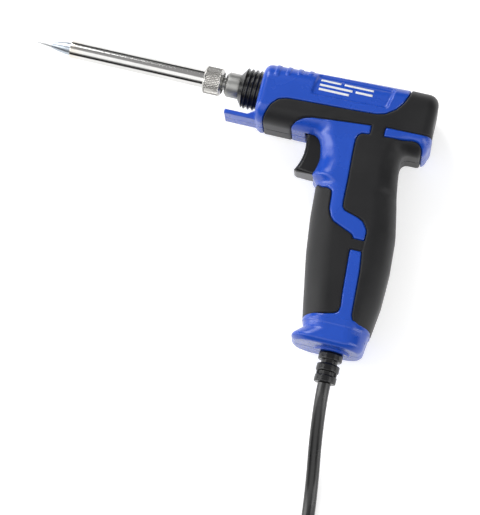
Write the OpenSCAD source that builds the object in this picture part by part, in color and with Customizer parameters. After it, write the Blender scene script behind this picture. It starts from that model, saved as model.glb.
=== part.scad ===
// Pistol-grip soldering iron lying on its right side, with its coiled mains cord.
// +X runs from the tip to the back of the tool, +Y points away from the grip,
// +Z is up. The barrel axis is the X axis, and the origin lies on it at the front
// face of the union nut. Inside the modules x counts from the housing's reference
// face, which place() moves behind the origin.

/* [Housing] */
// Half the width of the housing, base and grip over the soft skin
half_w = 17; // [16:0.5:22]
// Distance from the union nut's front face back to the housing's reference face
seat_to_housing = 26; // [24:1:32]
// Where the housing's front wall starts, behind the reference face
housing_front = 2; // [2:0.5:4]
// Back of the housing, behind the reference face
housing_back = 84.6; // [80:0.2:96]
// Height of the housing's top over the barrel axis at its front
top_front = 11.4; // [11.4:0.1:16]
// Height of the housing's top over the barrel axis at its back
top_back = 13.8; // [13:0.1:18]
// Depth of the housing's underside below the barrel axis
belly = 17.2; // [16.8:0.1:20]
// Corner radius of the housing's section
corner_r = 9; // [6:0.5:10]
// Thickness of the hard wall and soft skin together
wall = 3.4; // [3:0.1:4.5]
// Thickness of the soft skin
skin_t = 1.6; // [1:0.1:2]
// How far the soft skin stands over the hard surface beside it
skin_proud = 0.4; // [0.2:0.1:0.8]
// Height of the raised ribs over the top of the housing
rib_h = 0.5; // [0.3:0.1:0.8]

/* [Grip] */
// Depth of the grip's bottom end below the barrel axis
grip_depth = 102.5; // [98:0.5:125]
// Corner radius of the grip's section
grip_r = 12; // [8:0.5:13]
// Height of the base flange below the grip
base_h = 10.7; // [9:0.1:14]
// How much narrower the grip is than the housing, on each side
grip_inset = 0.4; // [0:0.1:2]

/* [Barrel] */
// Outer radius of the barrel sleeve
barrel_r = 4.25; // [4:0.05:5]
// Length of the sleeve in front of the union nut
barrel_len = 65.5; // [50:0.5:90]
// Wall of the sleeve
barrel_wall = 0.6; // [0.4:0.1:0.7]
// Length of the tip that stands out of the sleeve
tip_out = 17.5; // [14:0.5:30]
// Radius of the tip where it enters the sleeve
tip_r = 3.1; // [2.8:0.1:3.2]
// Length of the tip's shank inside the sleeve
tip_shank = 24; // [15:1:30]
// Radius of the ceramic heater rod
heater_r = 1.9; // [1.6:0.1:2]
// Radius of the union nut
nut_r = 6.5; // [6.3:0.1:8]
// Length of the union nut
nut_len = 9; // [8:0.5:12]
// Radius of the steel ferrule
ferrule_r = 5.85; // [5.8:0.05:6.2]
// Radius of the black collar's ridges
collar_r = 9.6; // [9:0.1:9.8]
// Length of the black collar in front of the housing
collar_len = 10.7; // [10:0.1:12]

/* [Trigger] */
// Width of the trigger
trigger_w = 14; // [10:0.5:15]
// How far the trigger turns, in degrees
trigger_turn = 8; // [4:1:8]
// Place of the trigger's pivot behind the reference face
pivot_x = 34; // [33:0.5:35]
// Depth of the trigger's pivot below the barrel axis
pivot_y = 10.2; // [10:0.1:11]
// Radius of the trigger's pivot pin
pivot_r = 1.25; // [1:0.05:1.5]

/* [Cord] */
// Diameter of the mains cord
cord_d = 6; // [5:0.5:6.5]
// Place of the cord's axis behind the reference face
cord_x = 63; // [60:0.5:66]
// Radius of the strain relief's rings
relief_r = 5.6; // [5:0.1:6.5]
// Mean radius of the stored coil
coil_r = 36; // [34:1:40]

/* [Plug] */
// Radius of the plug's body
plug_r = 18.5; // [17:0.5:20]
// Radius of a plug pin
plug_pin_r = 2.4; // [2:0.05:2.45]
// Distance between the plug's pins
plug_pitch = 19; // [19:0.5:20]
// Length of a plug pin outside the plug
plug_pin_len = 19; // [17:0.5:20]

/* [Clearances] */
// Running clearance of a pin, plunger or nut in its hole
run_gap = 0.08; // [0.05:0.01:0.1]
// Gap between neighbouring parts that don't move on each other
part_gap = 0.3; // [0.2:0.05:0.4]
// Gap between the hard shell and the skin moulded over it
skin_gap = 0.05; // [0.03:0.01:0.1]

/* [Hidden] */
$fn = 48;
BLUE = [0.09, 0.27, 0.68];
RUBBER = [0.17, 0.17, 0.18];
BLACK = [0.05, 0.05, 0.05];
STEEL = [0.72, 0.72, 0.7];
eps = 0.01;
far = 200;            // reach of cutting prisms, past every wall

// derived places of the barrel's pieces, counted from the reference face
nut_front = -seat_to_housing;
nut_back = nut_front + nut_len;
nut_lip = 1.2;        // front wall of the nut
flange_t = 1;         // flange at the sleeve's back end, held by the nut
sleeve_front = nut_front - barrel_len;
sleeve_back = nut_front + nut_lip + run_gap + flange_t;
spigot_r = nut_r - 1.5;
neck_r = 3;
neck_len = 2;         // undercut between the nut and the ferrule
ferrule_front = nut_back + neck_len - 0.5;
ferrule_back = 20;
lead_bore_r = heater_r + 0.2;
bush_r = ferrule_r - 1.2;
collar_front = housing_front - collar_len;
collar_neck_r = ferrule_r + 1.8;
collar_flange_r = collar_neck_r + 1.6;
collar_flange_t = 3;
mid_w = half_w - wall;    // half width of the cavity
table_z = -half_w;
blue_in = skin_proud;     // hard surface, counted in from the skin's surface

module on_side(side) { if (side > 0) children(); else mirror([0, 0, 1]) children(); }
module place() { translate([seat_to_housing, 0, 0]) children(); }
module along_x(x) { translate([x, 0, 0]) rotate([0, 90, 0]) children(); }
// a turned part on the barrel axis: outline points are [x, radius]
module turned(outline) {
    rotate([0, 90, 0]) rotate_extrude($fn = 64)
        polygon([for (p = outline) [p[1], p[0]]]);
}

// ---- outer form, inset by d from the skin's surface ----
// rounded rectangle from lo to hi and w to either side of the mid-plane; its
// corners have radius r and the whole outline is inset by d
corner_steps = 6;
function outline(lo, hi, w, r, d) = [
    for (c = [[hi - r, w - r, 0], [lo + r, w - r, 90], [lo + r, r - w, 180],
            [hi - r, r - w, 270]], i = [0 : corner_steps])
        let (a = c[2] + 90 * i / corner_steps)
            [c[0] + (r - d) * cos(a), c[1] + (r - d) * sin(a)]];
// convex body through rings that have equally many points
module loft(rings) {
    n = len(rings[0]);
    last = len(rings) - 1;
    hull() polyhedron(points = [for (r = rings) each r],
        faces = concat([[for (k = [0 : n - 1]) k]],
            [for (i = [0 : last - 1], k = [0 : n - 1]) let (m = (k + 1) % n)
                [i * n + k, (i + 1) * n + k, (i + 1) * n + m, i * n + m]],
            [[for (k = [n - 1 : -1 : 0]) last * n + k]]));
}
straight_len = 70;    // length over which the housing's top rises
function top_at(x) = top_front
    + (top_back - top_front) * min(1, (x - housing_front) / straight_len);
function housing_ring(x, d) =
    [for (p = outline(-belly, top_at(x), half_w, corner_r, d)) [x, p[0], p[1]]];
module housing_form(d) {
    front_r = 3.5;
    back_r = 5;
    loft(concat(
        [for (a = [90, 60, 30, 0]) housing_ring(housing_front + front_r
            - (front_r - d) * sin(a), front_r - (front_r - d) * cos(a))],
        [housing_ring(housing_front + straight_len, d)],
        [for (a = [0, 30, 60, 90]) housing_ring(housing_back - back_r
            + (back_r - d) * sin(a), back_r - (back_r - d) * cos(a))]));
}
// one level of the grip: [y, front x, back x, half width, corner radius]
function level_ring(l, d) = [for (p = outline(l[1], l[2], l[3], l[4], d)) [p[0], l[0], p[1]]];
module chain(levels, d) {
    for (i = [0 : len(levels) - 2]) loft([level_ring(levels[i], d),
        level_ring(levels[i + 1], d)]);
}
grip_w = half_w - grip_inset;
grip_top = 8;
function grip_y(share) = -(belly + (grip_depth - belly) * share);
grip_levels = [
    [-grip_top, 34, 74, grip_w, 8],
    [-belly, 33.5, 73.5, grip_w, 8],
    [-22, 35.6, 73.2, grip_w, 9],
    [-28, 36.7, 74, grip_w, 10],
    [-33, 35.8, 74.8, grip_w, 10],
    [-36.3, 34.4, 75.3, grip_w, 10],
    [-37.4, 37, 75.6, grip_w, grip_r],
    [grip_y(0.28), 37.8, 76.4, grip_w, grip_r],
    [grip_y(0.45), 38.8, 79.3, grip_w, grip_r],
    [grip_y(0.64), 40.8, 80.4, grip_w, grip_r],
    [grip_y(0.83), 43.8, 80.1, grip_w, grip_r],
    [-grip_depth, 46.5, 78.4, grip_w, grip_r]
];
base_bottom = -grip_depth - base_h;
base_levels = [
    [-grip_depth, 46.9, 78, grip_w - 0.4, 11],
    [-grip_depth - 4, 48, 77.4, grip_w - 0.2, 11],
    [-grip_depth - 7.5, 43.9, 77, half_w, 10],
    [-grip_depth - 9, 43.4, 76.7, half_w, 10],
    [base_bottom, 45, 75.2, half_w - 1.4, 9]
];
// the levels above the floor of the inset form, and that floor
module base_form(d) {
    floor_y = base_bottom + d;
    foot = base_levels[len(base_levels) - 1];
    chain(concat([for (l = base_levels) if (l[0] > floor_y + 0.5) l],
        [[floor_y, foot[1], foot[2], foot[3], foot[4]]]), d);
}
tail_levels = [
    [-3, 66, housing_back - 0.2, half_w - 0.4, 6],
    [-9.5, 68, housing_back + 1.2, half_w - 1, 7],
    [-11.8, 70, housing_back + 0.7, half_w - 2.6, 7],
    [-13.6, 71, housing_back - 2, half_w - 6, 6]
];
module form(d) {
    housing_form(d);
    chain(grip_levels, d);
    chain(tail_levels, d);
}
// lower rest in front of the housing
tab_w = 14.6;
tab_top = -13.8;
tab_bottom = -15.9;
tab_front = -12.3;
tab_back = 5.8;
gusset_top = -11;
module rest_tab() {
    translate([0, 0, -tab_w / 2]) linear_extrude(tab_w)
        polygon([[tab_front, tab_bottom], [tab_front, tab_top], [-1.5, tab_top],
            [housing_front + 0.6, gusset_top], [tab_back, gusset_top],
            [tab_back, tab_bottom]]);
}

// ---- regions of the soft skin, seen from the side ----
module band_region() {
    polygon([[6.2, -22], [6.2, -19], [7, -14.5], [9, -9.5], [12, -6.2], [16, -5],
        [22, -4.7], [32, -4.3], [46, -3.8], [58, -3.1], [62, -2], [66.3, 1.2],
        [69, 5], [70.6, 9.5], [71.2, 20], [95, 20], [95, -5.6], [84.6, -7.4],
        [81, -8.1], [63.4, -8.4], [63.4, -12.9], [72, -12.4], [77, -11.6], [79.4, -12],
        [81, -13.2], [81.8, -14.6], [82, -24], [95, -24], [95, -36], [82, -60], [66.2, -60],
        [65.3, -57.8], [63.6, -55.6], [60.6, -54], [56, -52.5], [53.5, -50.7],
        [52.6, -48], [52.4, -36], [51.4, -23], [51.2, -17], [51.8, -15],
        [53.4, -13.6], [57, -13.2], [57, -8.9], [39, -10.4], [29, -11.2],
        [25.4, -12.2], [22.6, -13.8], [20.4, -16], [19.4, -19], [19.2, -22]]);
}
module rear_region() {
    polygon([[66.2, -59], [66.2, -68], [67.4, -77], [68, -88], [68.5, -97.5],
        [69.6, -100.2], [72.4, -101.8], [78.8, -grip_depth], [95, -grip_depth],
        [95, -59]]);
}
module front_region() {
    polygon([[30, -40.4], [39.4, -40.4], [41, -41.6], [44, -41.8], [46.2, -43],
        [46.9, -46], [47.1, -51.8], [48, -54.2], [49.6, -56], [52.4, -57.4],
        [56, -59.1], [59.4, -60.6], [60.6, -62], [60.6, -62.9], [66.4, -62.9],
        [66.4, -68], [60.6, -68], [61.2, -77], [62, -89], [62.7, -95],
        [62.2, -97.4], [60.8, -98.4], [57, -99.4], [52.4, -100.6], [46, -grip_depth],
        [30, -grip_depth]]);
}
module skin_region() { band_region(); rear_region(); front_region(); }

module skin_half(side) {
    intersection() {
        difference() { form(0); form(skin_t); }
        translate([0, 0, side > 0 ? 0 : -far]) linear_extrude(far) skin_region();
    }
}

// ---- screws that close the housing, and the bosses that take them ----
screw_spots = [[15.5, -10.6], [40, 6], [housing_back - 7, 6], [67.5, -34], [46.5, -50],
    [71, -84]];
screw_r = 1.4;
screw_head_r = 2.7;
boss_r = 4.2;
boss_root = 0.8;      // how far bosses and webs reach into the wall
screw_head_z = -half_w + 6;
screw_end_z = mid_w - 3;
module at_screws() { for (p = screw_spots) translate([p[0], p[1], 0]) children(); }

// ---- hard shell ----
module panel_recess() {
    depth = 1.1;
    intersection() {
        difference() { housing_form(-1); housing_form(blue_in + depth); }
        translate([0, 0, half_w - 9]) linear_extrude(far)
            polygon([[24.6, -1.4], [62, 1.6], [64.4, 13.2], [27.2, 12.2]]);
    }
}
module top_ribs() {
    intersection() {
        difference() { housing_form(blue_in - rib_h); housing_form(blue_in + 1); }
        for (i = [0 : 3]) translate([7.6 + 5.1 * i, 4 + 1.6 * i, -far / 2])
            cube([1.8, far, far]);
    }
}
trigger_slot_w = trigger_w / 2 + part_gap;
module inner_cuts() {
    // ways for the collar, its flange, the trigger and the cord
    along_x(-1) cylinder(h = 12, r = collar_neck_r + part_gap, $fn = 48);
    along_x(housing_front + wall - part_gap / 2)
        cylinder(h = collar_flange_t + part_gap, r = collar_flange_r + part_gap);
    translate([27.2, -36.6, -trigger_slot_w]) cube([18.8, 27.4, 2 * trigger_slot_w]);
    translate([cord_x, -grip_depth - 3, 0]) rotate([90, 0, 0])
        cylinder(h = 20, r = relief_neck_r + part_gap);
}
module cheek_rib(x, y, w, h, z) {
    // web from the wall in to height z, on the positive side
    translate([x, y, z]) cube([w, h, mid_w - z + 1]);
}
module inner_ribs() {
    // cradle of the ferrule
    for (x = [11.5, 16.5]) difference() {
        translate([x, -9, 0]) cube([1.6, 16.5, mid_w + 1]);
        along_x(x - 1) cylinder(h = 4, r = ferrule_r + skin_gap);
    }
    // webs that hold the switch and the terminal block
    for (x = [switch_x + 2, switch_x + 8]) cheek_rib(x, switch_y, 1.4, switch_h, switch_z);
    for (x = [block_x + 2, block_x + 9]) cheek_rib(x, -5, 1.4, 9, block_z);
    // spring seat behind the trigger
    translate([spring_back, spring_y - 3.4, 0]) cube([1.6, 6.8, mid_w + 1]);
}
module shell_half(side) {
    on_side(side) difference() {
        union() {
            difference() {
                union() {
                    difference() {
                        union() { form(blue_in); base_form(0); top_ribs(); }
                        translate([0, 0, -far / 2]) linear_extrude(far)
                            offset(delta = skin_gap) skin_region();
                    }
                    form(skin_t + skin_gap);
                    rest_tab();
                }
                form(wall);
                base_form(wall);
                panel_recess();
            }
            intersection() {
                union() {
                    inner_ribs();
                    at_screws() cylinder(h = far, r = boss_r, $fn = 24);
                }
                union() { form(wall - boss_root); base_form(wall - boss_root); }
            }
            pin_boss();
        }
        inner_cuts();
        translate([0, 0, -far]) cube([2 * far, 2 * far, 2 * far], center = true);
    }
}
module pin_boss() {
    // ear beside the trigger that takes the pivot pin's end
    difference() {
        translate([pivot_x, -pivot_y, trigger_slot_w])
            cylinder(h = mid_w - trigger_slot_w + 1, r = 3.2, $fn = 32);
        translate([pivot_x, -pivot_y, 0])
            cylinder(h = pin_end + part_gap, r = pivot_r + 0.05, $fn = 32);
    }
}
pin_end = trigger_slot_w + 4;

module housing_left() {
    color(BLUE) place() difference() {
        shell_half(1);
        at_screws() cylinder(h = screw_end_z + 1, r = screw_r + 0.05, $fn = 24);
    }
}
module housing_right() {
    color(BLUE) place() difference() {
        union() {
            shell_half(-1);
            intersection() { clamp_saddle(); form(wall - boss_root); }
        }
        at_screws() screw_way();
        clamp_holes();
    }
}
module screw_way() {
    translate([0, 0, -far]) cylinder(h = far + 1, r = screw_r + part_gap, $fn = 24);
    translate([0, 0, -far]) cylinder(h = far + screw_head_z, r = screw_head_r + part_gap,
        $fn = 24);
}
module grip_skin_left() { color(RUBBER) place() skin_half(1); }
module grip_skin_right() {
    color(RUBBER) place() difference() { skin_half(-1); at_screws() screw_way(); }
}
module housing_screws() {
    color(STEEL) place() at_screws() {
        translate([0, 0, screw_head_z - 2]) difference() {
            cylinder(h = 2, r = screw_head_r);
            translate([0, 0, -eps]) cylinder(h = 1.2, r = 1.2, $fn = 6);
        }
        translate([0, 0, screw_head_z - eps])
            cylinder(h = screw_end_z - screw_head_z, r = screw_r);
    }
}

// ---- barrel, tip and heater ----
module front_collar() {
    ridges = 4;
    pitch = 2.1;
    root_r = collar_r - 0.8;
    crest_back = housing_front - part_gap;
    first = crest_back - ridges * pitch;
    color(BLACK) place() difference() {
        turned(concat([[collar_front, ferrule_r - 1], [collar_front, ferrule_r]],
            [[first, collar_r - 0.6]],
            [for (i = [0 : ridges - 1]) each [[first + (i + 0.1) * pitch, collar_r],
                [first + (i + 0.35) * pitch, collar_r],
                [first + (i + 0.75) * pitch, root_r]]],
            [[crest_back, root_r], [crest_back, collar_neck_r],
            [housing_front + wall, collar_neck_r],
            [housing_front + wall, collar_flange_r],
            [housing_front + wall + collar_flange_t, collar_flange_r],
            [housing_front + wall + collar_flange_t, ferrule_r - 1]]));
        along_x(collar_front - 1) cylinder(h = 30, r = ferrule_r + part_gap / 6);
    }
}
module ferrule() {
    cone = 1;
    spigot_front = nut_front + nut_lip + flange_t + 0.4;
    color(STEEL) place() difference() {
        turned([[spigot_front, 0], [spigot_front, spigot_r],
            [nut_back - 1, spigot_r], [nut_back - 1, neck_r],
            [ferrule_front, neck_r], [ferrule_front, ferrule_r - cone],
            [ferrule_front + cone, ferrule_r], [ferrule_back, ferrule_r],
            [ferrule_back, 0]]);
        along_x(nut_front) cylinder(h = 60, r = lead_bore_r);
        along_x(socket_front) cylinder(h = 60, r = bush_r);
    }
}
module union_nut() {
    chamfer = 0.7;
    color(STEEL) place() difference() {
        turned([[nut_front, 0], [nut_front, nut_r - chamfer], [nut_front + chamfer, nut_r],
            [nut_back - chamfer, nut_r], [nut_back, nut_r - 2 * chamfer], [nut_back, 0]]);
        along_x(nut_front - 1) cylinder(h = 20, r = barrel_r + run_gap);
        along_x(nut_front + nut_lip) cylinder(h = 20, r = spigot_r + run_gap);
    }
}
module barrel_sleeve() {
    edge = 0.4;
    relief = 0.2;     // the stretch inside the nut is this much thinner
    color(STEEL) place() difference() {
        turned([[sleeve_front, 0], [sleeve_front, barrel_r - edge],
            [sleeve_front + edge, barrel_r], [nut_front, barrel_r],
            [nut_front, barrel_r - relief], [sleeve_back - flange_t, barrel_r - relief],
            [sleeve_back - flange_t, spigot_r - part_gap],
            [sleeve_back, spigot_r - part_gap], [sleeve_back, 0]]);
        along_x(sleeve_front - 1) cylinder(h = barrel_len + 10, r = barrel_r - barrel_wall);
    }
}
module soldering_tip() {
    bright = tip_out * 0.42;
    shank_r = barrel_r - barrel_wall - run_gap / 2;
    color(STEEL) place() difference() {
        turned([[sleeve_front - tip_out, 0], [sleeve_front - tip_out + 0.3, 0.25],
            [sleeve_front - tip_out + bright, tip_r * 0.47],
            [sleeve_front - tip_out * 0.34, tip_r * 0.76],
            [sleeve_front - tip_out * 0.14, tip_r * 0.94], [sleeve_front, tip_r],
            [sleeve_front + 0.6, shank_r], [sleeve_front + tip_shank, shank_r],
            [sleeve_front + tip_shank, 0]]);
        along_x(heater_front - part_gap)
            cylinder(h = barrel_len, r = heater_r + part_gap / 2);
    }
}
heater_front = sleeve_front + 8;
socket_front = -8;
module heater_rod() {
    color([0.93, 0.92, 0.88]) place() turned([[heater_front, 0], [heater_front, heater_r - 0.4],
        [heater_front + 0.4, heater_r], [socket_front, heater_r], [socket_front, 0]]);
}
module heater_socket() {
    color([0.9, 0.87, 0.8]) place() difference() {
        turned([[socket_front, 0], [socket_front, bush_r - run_gap],
            [ferrule_back - 2, bush_r - run_gap], [ferrule_back - 2, 0]]);
        for (s = [-1, 1]) translate([0, 0, s * lead_gap]) along_x(socket_front - 1)
            cylinder(h = 60, r = lead_r + part_gap / 3, $fn = 24);
    }
}
lead_r = 0.7;
lead_gap = 1.6;

// a round wire through route points, swept as one closed surface
function unit(v) = v / norm(v);
function lean(path, i) = unit(path[min(i + 1, len(path) - 1)] - path[max(i - 1, 0)]);
function ring(path, i, r, sides, up) = let (t = lean(path, i), a = unit(cross(t, up)),
    b = cross(a, t)) [for (k = [0 : sides - 1]) path[i] + r * (cos(360 * k / sides) * a
        + sin(360 * k / sides) * b)];
module wire(path, r, sides = 8, up = [0, 0, 1]) {
    n = len(path);
    polyhedron(points = [for (i = [0 : n - 1]) each ring(path, i, r, sides, up)],
        faces = concat([[for (k = [0 : sides - 1]) k]],
            [for (i = [0 : n - 2], k = [0 : sides - 1]) let (m = (k + 1) % sides)
                [i * sides + k, (i + 1) * sides + k, (i + 1) * sides + m, i * sides + m]],
            [[for (k = [sides - 1 : -1 : 0]) (n - 1) * sides + k]]));
}
// rounds the corners of a hand-chosen route by cutting them twice
function cut_corners(p) = [p[0], for (i = [0 : len(p) - 2])
    each [p[i] * 0.75 + p[i + 1] * 0.25, p[i] * 0.25 + p[i + 1] * 0.75], p[len(p) - 1]];
module bent_wire(path, r) { wire(cut_corners(cut_corners(path)), r); }

module heater_leads() {
    color("white") place() for (s = [-1, 1]) bent_wire([[socket_front + 2, 0, s * lead_gap],
        [ferrule_back + 4, 0, s * lead_gap], [30, 1, s * 3], [42, -1, s * block_pitch],
        [block_x + 2.2, -1, s * block_pitch]], lead_r);
}
module earth_lead() {
    color("green") place() bent_wire([[ferrule_back + skin_gap, 5.2, 0],
        [ferrule_back + 4, 5.2, 0], [32, 3, 0], [42, -1, 0], [block_x + 2.2, -1, 0]], 0.65);
}

// ---- terminals, diode and switch ----
block_x = 49;
block_len = 15;
block_y = -6;
block_h = 9;
block_half = 8;
block_z = block_half + part_gap;
block_pitch = 5;
wire_hole_r = 1;
module terminal_block() {
    color([0.85, 0.84, 0.78]) place() difference() {
        translate([block_x, block_y, -block_half]) cube([block_len, block_h, 2 * block_half]);
        for (s = [-1 : 1]) translate([0, -1, s * block_pitch]) {
            along_x(block_x - 1) cylinder(h = block_len + 2, r = wire_hole_r, $fn = 24);
            for (x = [3.5, block_len - 3.5]) translate([block_x + x, 0, 0])
                rotate([-90, 0, 0]) cylinder(h = 10, r = 1.5, $fn = 32);
        }
    }
}
module terminal_screws() {
    color(STEEL) place() for (s = [-1 : 1], x = [3.5, block_len - 3.5])
        translate([block_x + x, -1 + wire_hole_r, s * block_pitch]) rotate([-90, 0, 0])
            difference() {
                cylinder(h = 2.6, r = 1.35, $fn = 32);
                translate([-2, -0.25, 2]) cube([4, 0.5, 1]);
            }
}
switch_x = 46.2;
switch_len = 11.5;
switch_y = -28;
switch_h = 11;
switch_half = 3.1;
switch_z = switch_half + part_gap;
plunger_y = -21.5;
plunger_r = 1.4;
plunger_out = 3;
module switch_body() {
    color(BLACK) place() difference() {
        translate([switch_x, switch_y, -switch_half])
            cube([switch_len, switch_h, 2 * switch_half]);
        translate([0, plunger_y, 0]) along_x(switch_x - 1)
            cylinder(h = 8.5, r = plunger_r + run_gap);
    }
}
module switch_plunger() {
    color("firebrick") place() translate([0, plunger_y, 0]) turned([[switch_x - plunger_out, 0],
        [switch_x - plunger_out, plunger_r - 0.3], [switch_x - plunger_out + 0.3, plunger_r],
        [switch_x + 4.5, plunger_r], [switch_x + 4.5, 0]]);
}
tag_x = switch_x + switch_len;
tag_ys = [-25.5, -19.5];
tag_t = 0.8;
module switch_terminals() {
    tag_w = 3.2;
    color([0.8, 0.7, 0.35]) place() for (y = tag_ys) translate([tag_x, y - tag_t / 2, -tag_w / 2])
        difference() {
            cube([5, tag_t, tag_w]);
            translate([3.5, -1, tag_w / 2]) rotate([-90, 0, 0])
                cylinder(h = 3, r = 0.7, $fn = 24);
        }
}
diode_y = -11.5;
module diode() {
    color(BLACK) place() {
        translate([0, diode_y, 0]) along_x(tag_x - 2) cylinder(h = 4.8, r = 1.5, $fn = 32);
        translate([0, diode_y, 0]) along_x(tag_x - 5) cylinder(h = 11, r = 0.4, $fn = 32);
    }
}
module switch_wires() {
    color("brown") place() {
        bent_wire([[tag_x + 3.4, -19, 0], [tag_x + 4, -15.5, 0], [tag_x + 9, -13.5, 0],
            [tag_x + 9.5, diode_y, 0], [tag_x + 6.1, diode_y, 0]], 0.7);
        bent_wire([[tag_x - 5.1, diode_y, 0], [tag_x - 8, diode_y, 0], [tag_x - 8.5, -10, 5],
            [tag_x + 2, -8.6, 9.6], [block_x + block_len + 5, -5, 7],
            [block_x + block_len + 4, -1, block_pitch],
            [block_x + block_len - 2.2, -1, block_pitch]], 0.7);
    }
}

// ---- trigger ----
spring_y = -32.5;
spring_front = 40.3;
spring_back = 46.6;
hub_r = 3.6;
module trigger_outline() {
    difference() {
        polygon(concat([[28.6, -13.6]],
            [for (a = [160 : -20 : 0]) [pivot_x + hub_r * cos(a), hub_r * sin(a) - pivot_y]],
            [[40, -15], [40.2, -19.8], [trigger_back, -19.9], [trigger_back, -23.1],
            [40.2, -23.2], [40, -34.4], [39, -35.4], [27.2, -35.4], [25.9, -34.7],
            [27, -32.4], [28, -29.6], [28.6, -26.6], [28.7, -23.4], [28.4, -20],
            [27.8, -17]]));
        translate([pivot_x, -pivot_y]) circle(pivot_r + run_gap, $fn = 48);
    }
}
trigger_back = switch_x - plunger_out - part_gap;
module trigger() {
    color(BLACK) place() translate([0, 0, -trigger_w / 2]) linear_extrude(trigger_w)
        trigger_outline();
}
module trigger_pin() {
    color(STEEL) place() translate([pivot_x, -pivot_y, -pin_end])
        cylinder(h = 2 * pin_end, r = pivot_r);
}
module trigger_spring() {
    turns = 5;
    steps = 12;
    wire_r = 0.35;
    coil = 2.4;
    length = spring_back - spring_front - part_gap - 2 * wire_r;
    color(STEEL) place() wire([for (i = [0 : turns * steps]) let (a = 360 * i / steps)
        [spring_front + wire_r + length * i / (turns * steps), spring_y + coil * cos(a),
        coil * sin(a)]], wire_r, 6, [1, 0, 0]);
}

// ---- cord entry ----
relief_neck_r = 4.4;
relief_flange_r = 6.6;
relief_flange_t = 2;
relief_flange_y = base_bottom + wall;
relief_end = base_bottom - 15;
ring_len = 3.4;
ring_pitch = 5.2;
module down_y(y) { translate([cord_x, y, 0]) rotate([90, 0, 0]) children(); }
module strain_relief() {
    top = relief_flange_y + part_gap / 2 + relief_flange_t;
    color(BLACK) place() difference() {
        union() {
            down_y(top) cylinder(h = relief_flange_t, r = relief_flange_r);
            down_y(top + 5) cylinder(h = 6, r = relief_neck_r);
            down_y(top) cylinder(h = top - relief_end, r = relief_neck_r);
            for (i = [0 : 2]) down_y(relief_end + ring_len + i * ring_pitch)
                cylinder(h = ring_len, r = relief_r);
        }
        down_y(0) cylinder(h = far, r = cord_d / 2 + skin_gap);
    }
}
inner_top = -92;
module cord_inner_end() {
    color(BLACK) place() down_y(inner_top) cylinder(h = inner_top - relief_end, r = cord_d / 2);
}
clamp_y = -99.4;
clamp_h = 5.4;
clamp_w = 19;
clamp_reach = 6.8;    // screws sit this far either side of the cord
module cord_clamp() {
    color([0.8, 0.78, 0.7]) place() difference() {
        translate([cord_x - clamp_w / 2, clamp_y, cord_d / 2 + skin_gap])
            cube([clamp_w, clamp_h, 2.4]);
        at_clamp_screws() cylinder(h = far, r = screw_r + skin_gap, center = true);
    }
}
module at_clamp_screws() {
    for (s = [-1, 1]) translate([cord_x + s * clamp_reach, clamp_y + clamp_h / 2, 0]) children();
}
module clamp_screws() {
    head_z = cord_d / 2 + skin_gap + 2.4;
    color(STEEL) place() at_clamp_screws() {
        translate([0, 0, head_z]) difference() {
            cylinder(h = 1.8, r = 2.6);
            translate([-3, -0.35, 1]) cube([6, 0.7, 2]);
        }
        translate([0, 0, -9]) cylinder(h = head_z + 9, r = screw_r);
    }
}
module clamp_saddle() {
    translate([cord_x - clamp_w / 2, clamp_y, -mid_w - 1])
        cube([clamp_w, clamp_h, mid_w + 1 - cord_d / 2 - skin_gap]);
}
module clamp_holes() {
    at_clamp_screws() translate([0, 0, -10]) cylinder(h = 20, r = screw_r + skin_gap, $fn = 24);
}
module mains_wires() {
    start = [cord_x, inner_top + skin_gap, 0];
    block_back = block_x + block_len - 2.2;
    color("saddlebrown") place() bent_wire([start + [-1.2, 0, 0], [61.5, -84, 0], [60.6, -60, 0],
        [61.2, -34, 0], [tag_x + 3.6, -26.2, 0]], 0.7);
    color("blue") place() bent_wire([start + [0.7, 0, -1.2], [63.5, -84, -2], [62, -60, -4],
        [60.5, -40, -5], [60.5, -26, -6], [67, -15, -7], [70, -4, -7],
        [block_back + 5, -1, -block_pitch],
        [block_back, -1, -block_pitch]], 0.7);
    color("green") place() bent_wire([start + [0.7, 0, 1.2], [63.5, -84, 2], [62, -60, 4],
        [60.5, -40, 5], [60.5, -26, 5], [67, -15, 4], [71, -5, 0], [block_back + 5, -1, 0],
        [block_back, -1, 0]], 0.7);
}

// ---- mains cord, laid out and coiled, and its plug ----
lay_z = table_z + cord_d / 2;
cord_exit = relief_end;
coil_x = 113;         // centre of the stored coil
coil_y = -230;
coil_inner = coil_r - 1.5 * cord_d;
coil_outer = coil_r + 1.5 * cord_d;
// places along the lead: x, the share of the way from the exit down to the coil's
// centre, and the share of the drop to the table
lead_spots = [[cord_x, 0, 0], [63.2, 0.057, 0.043], [63.8, 0.136, 0.171],
    [64.6, 0.214, 0.357], [65.6, 0.293, 0.571], [66.8, 0.371, 0.771], [67.9, 0.45, 0.929],
    [69, 0.538, 1], [70, 0.637, 1], [70.7, 0.754, 1], [71, 0.872, 1], [71, 1, 1]];
lead_route = [for (p = lead_spots)
    [p[0], cord_exit + (coil_y - cord_exit) * p[1], lay_z * p[2]]];
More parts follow.
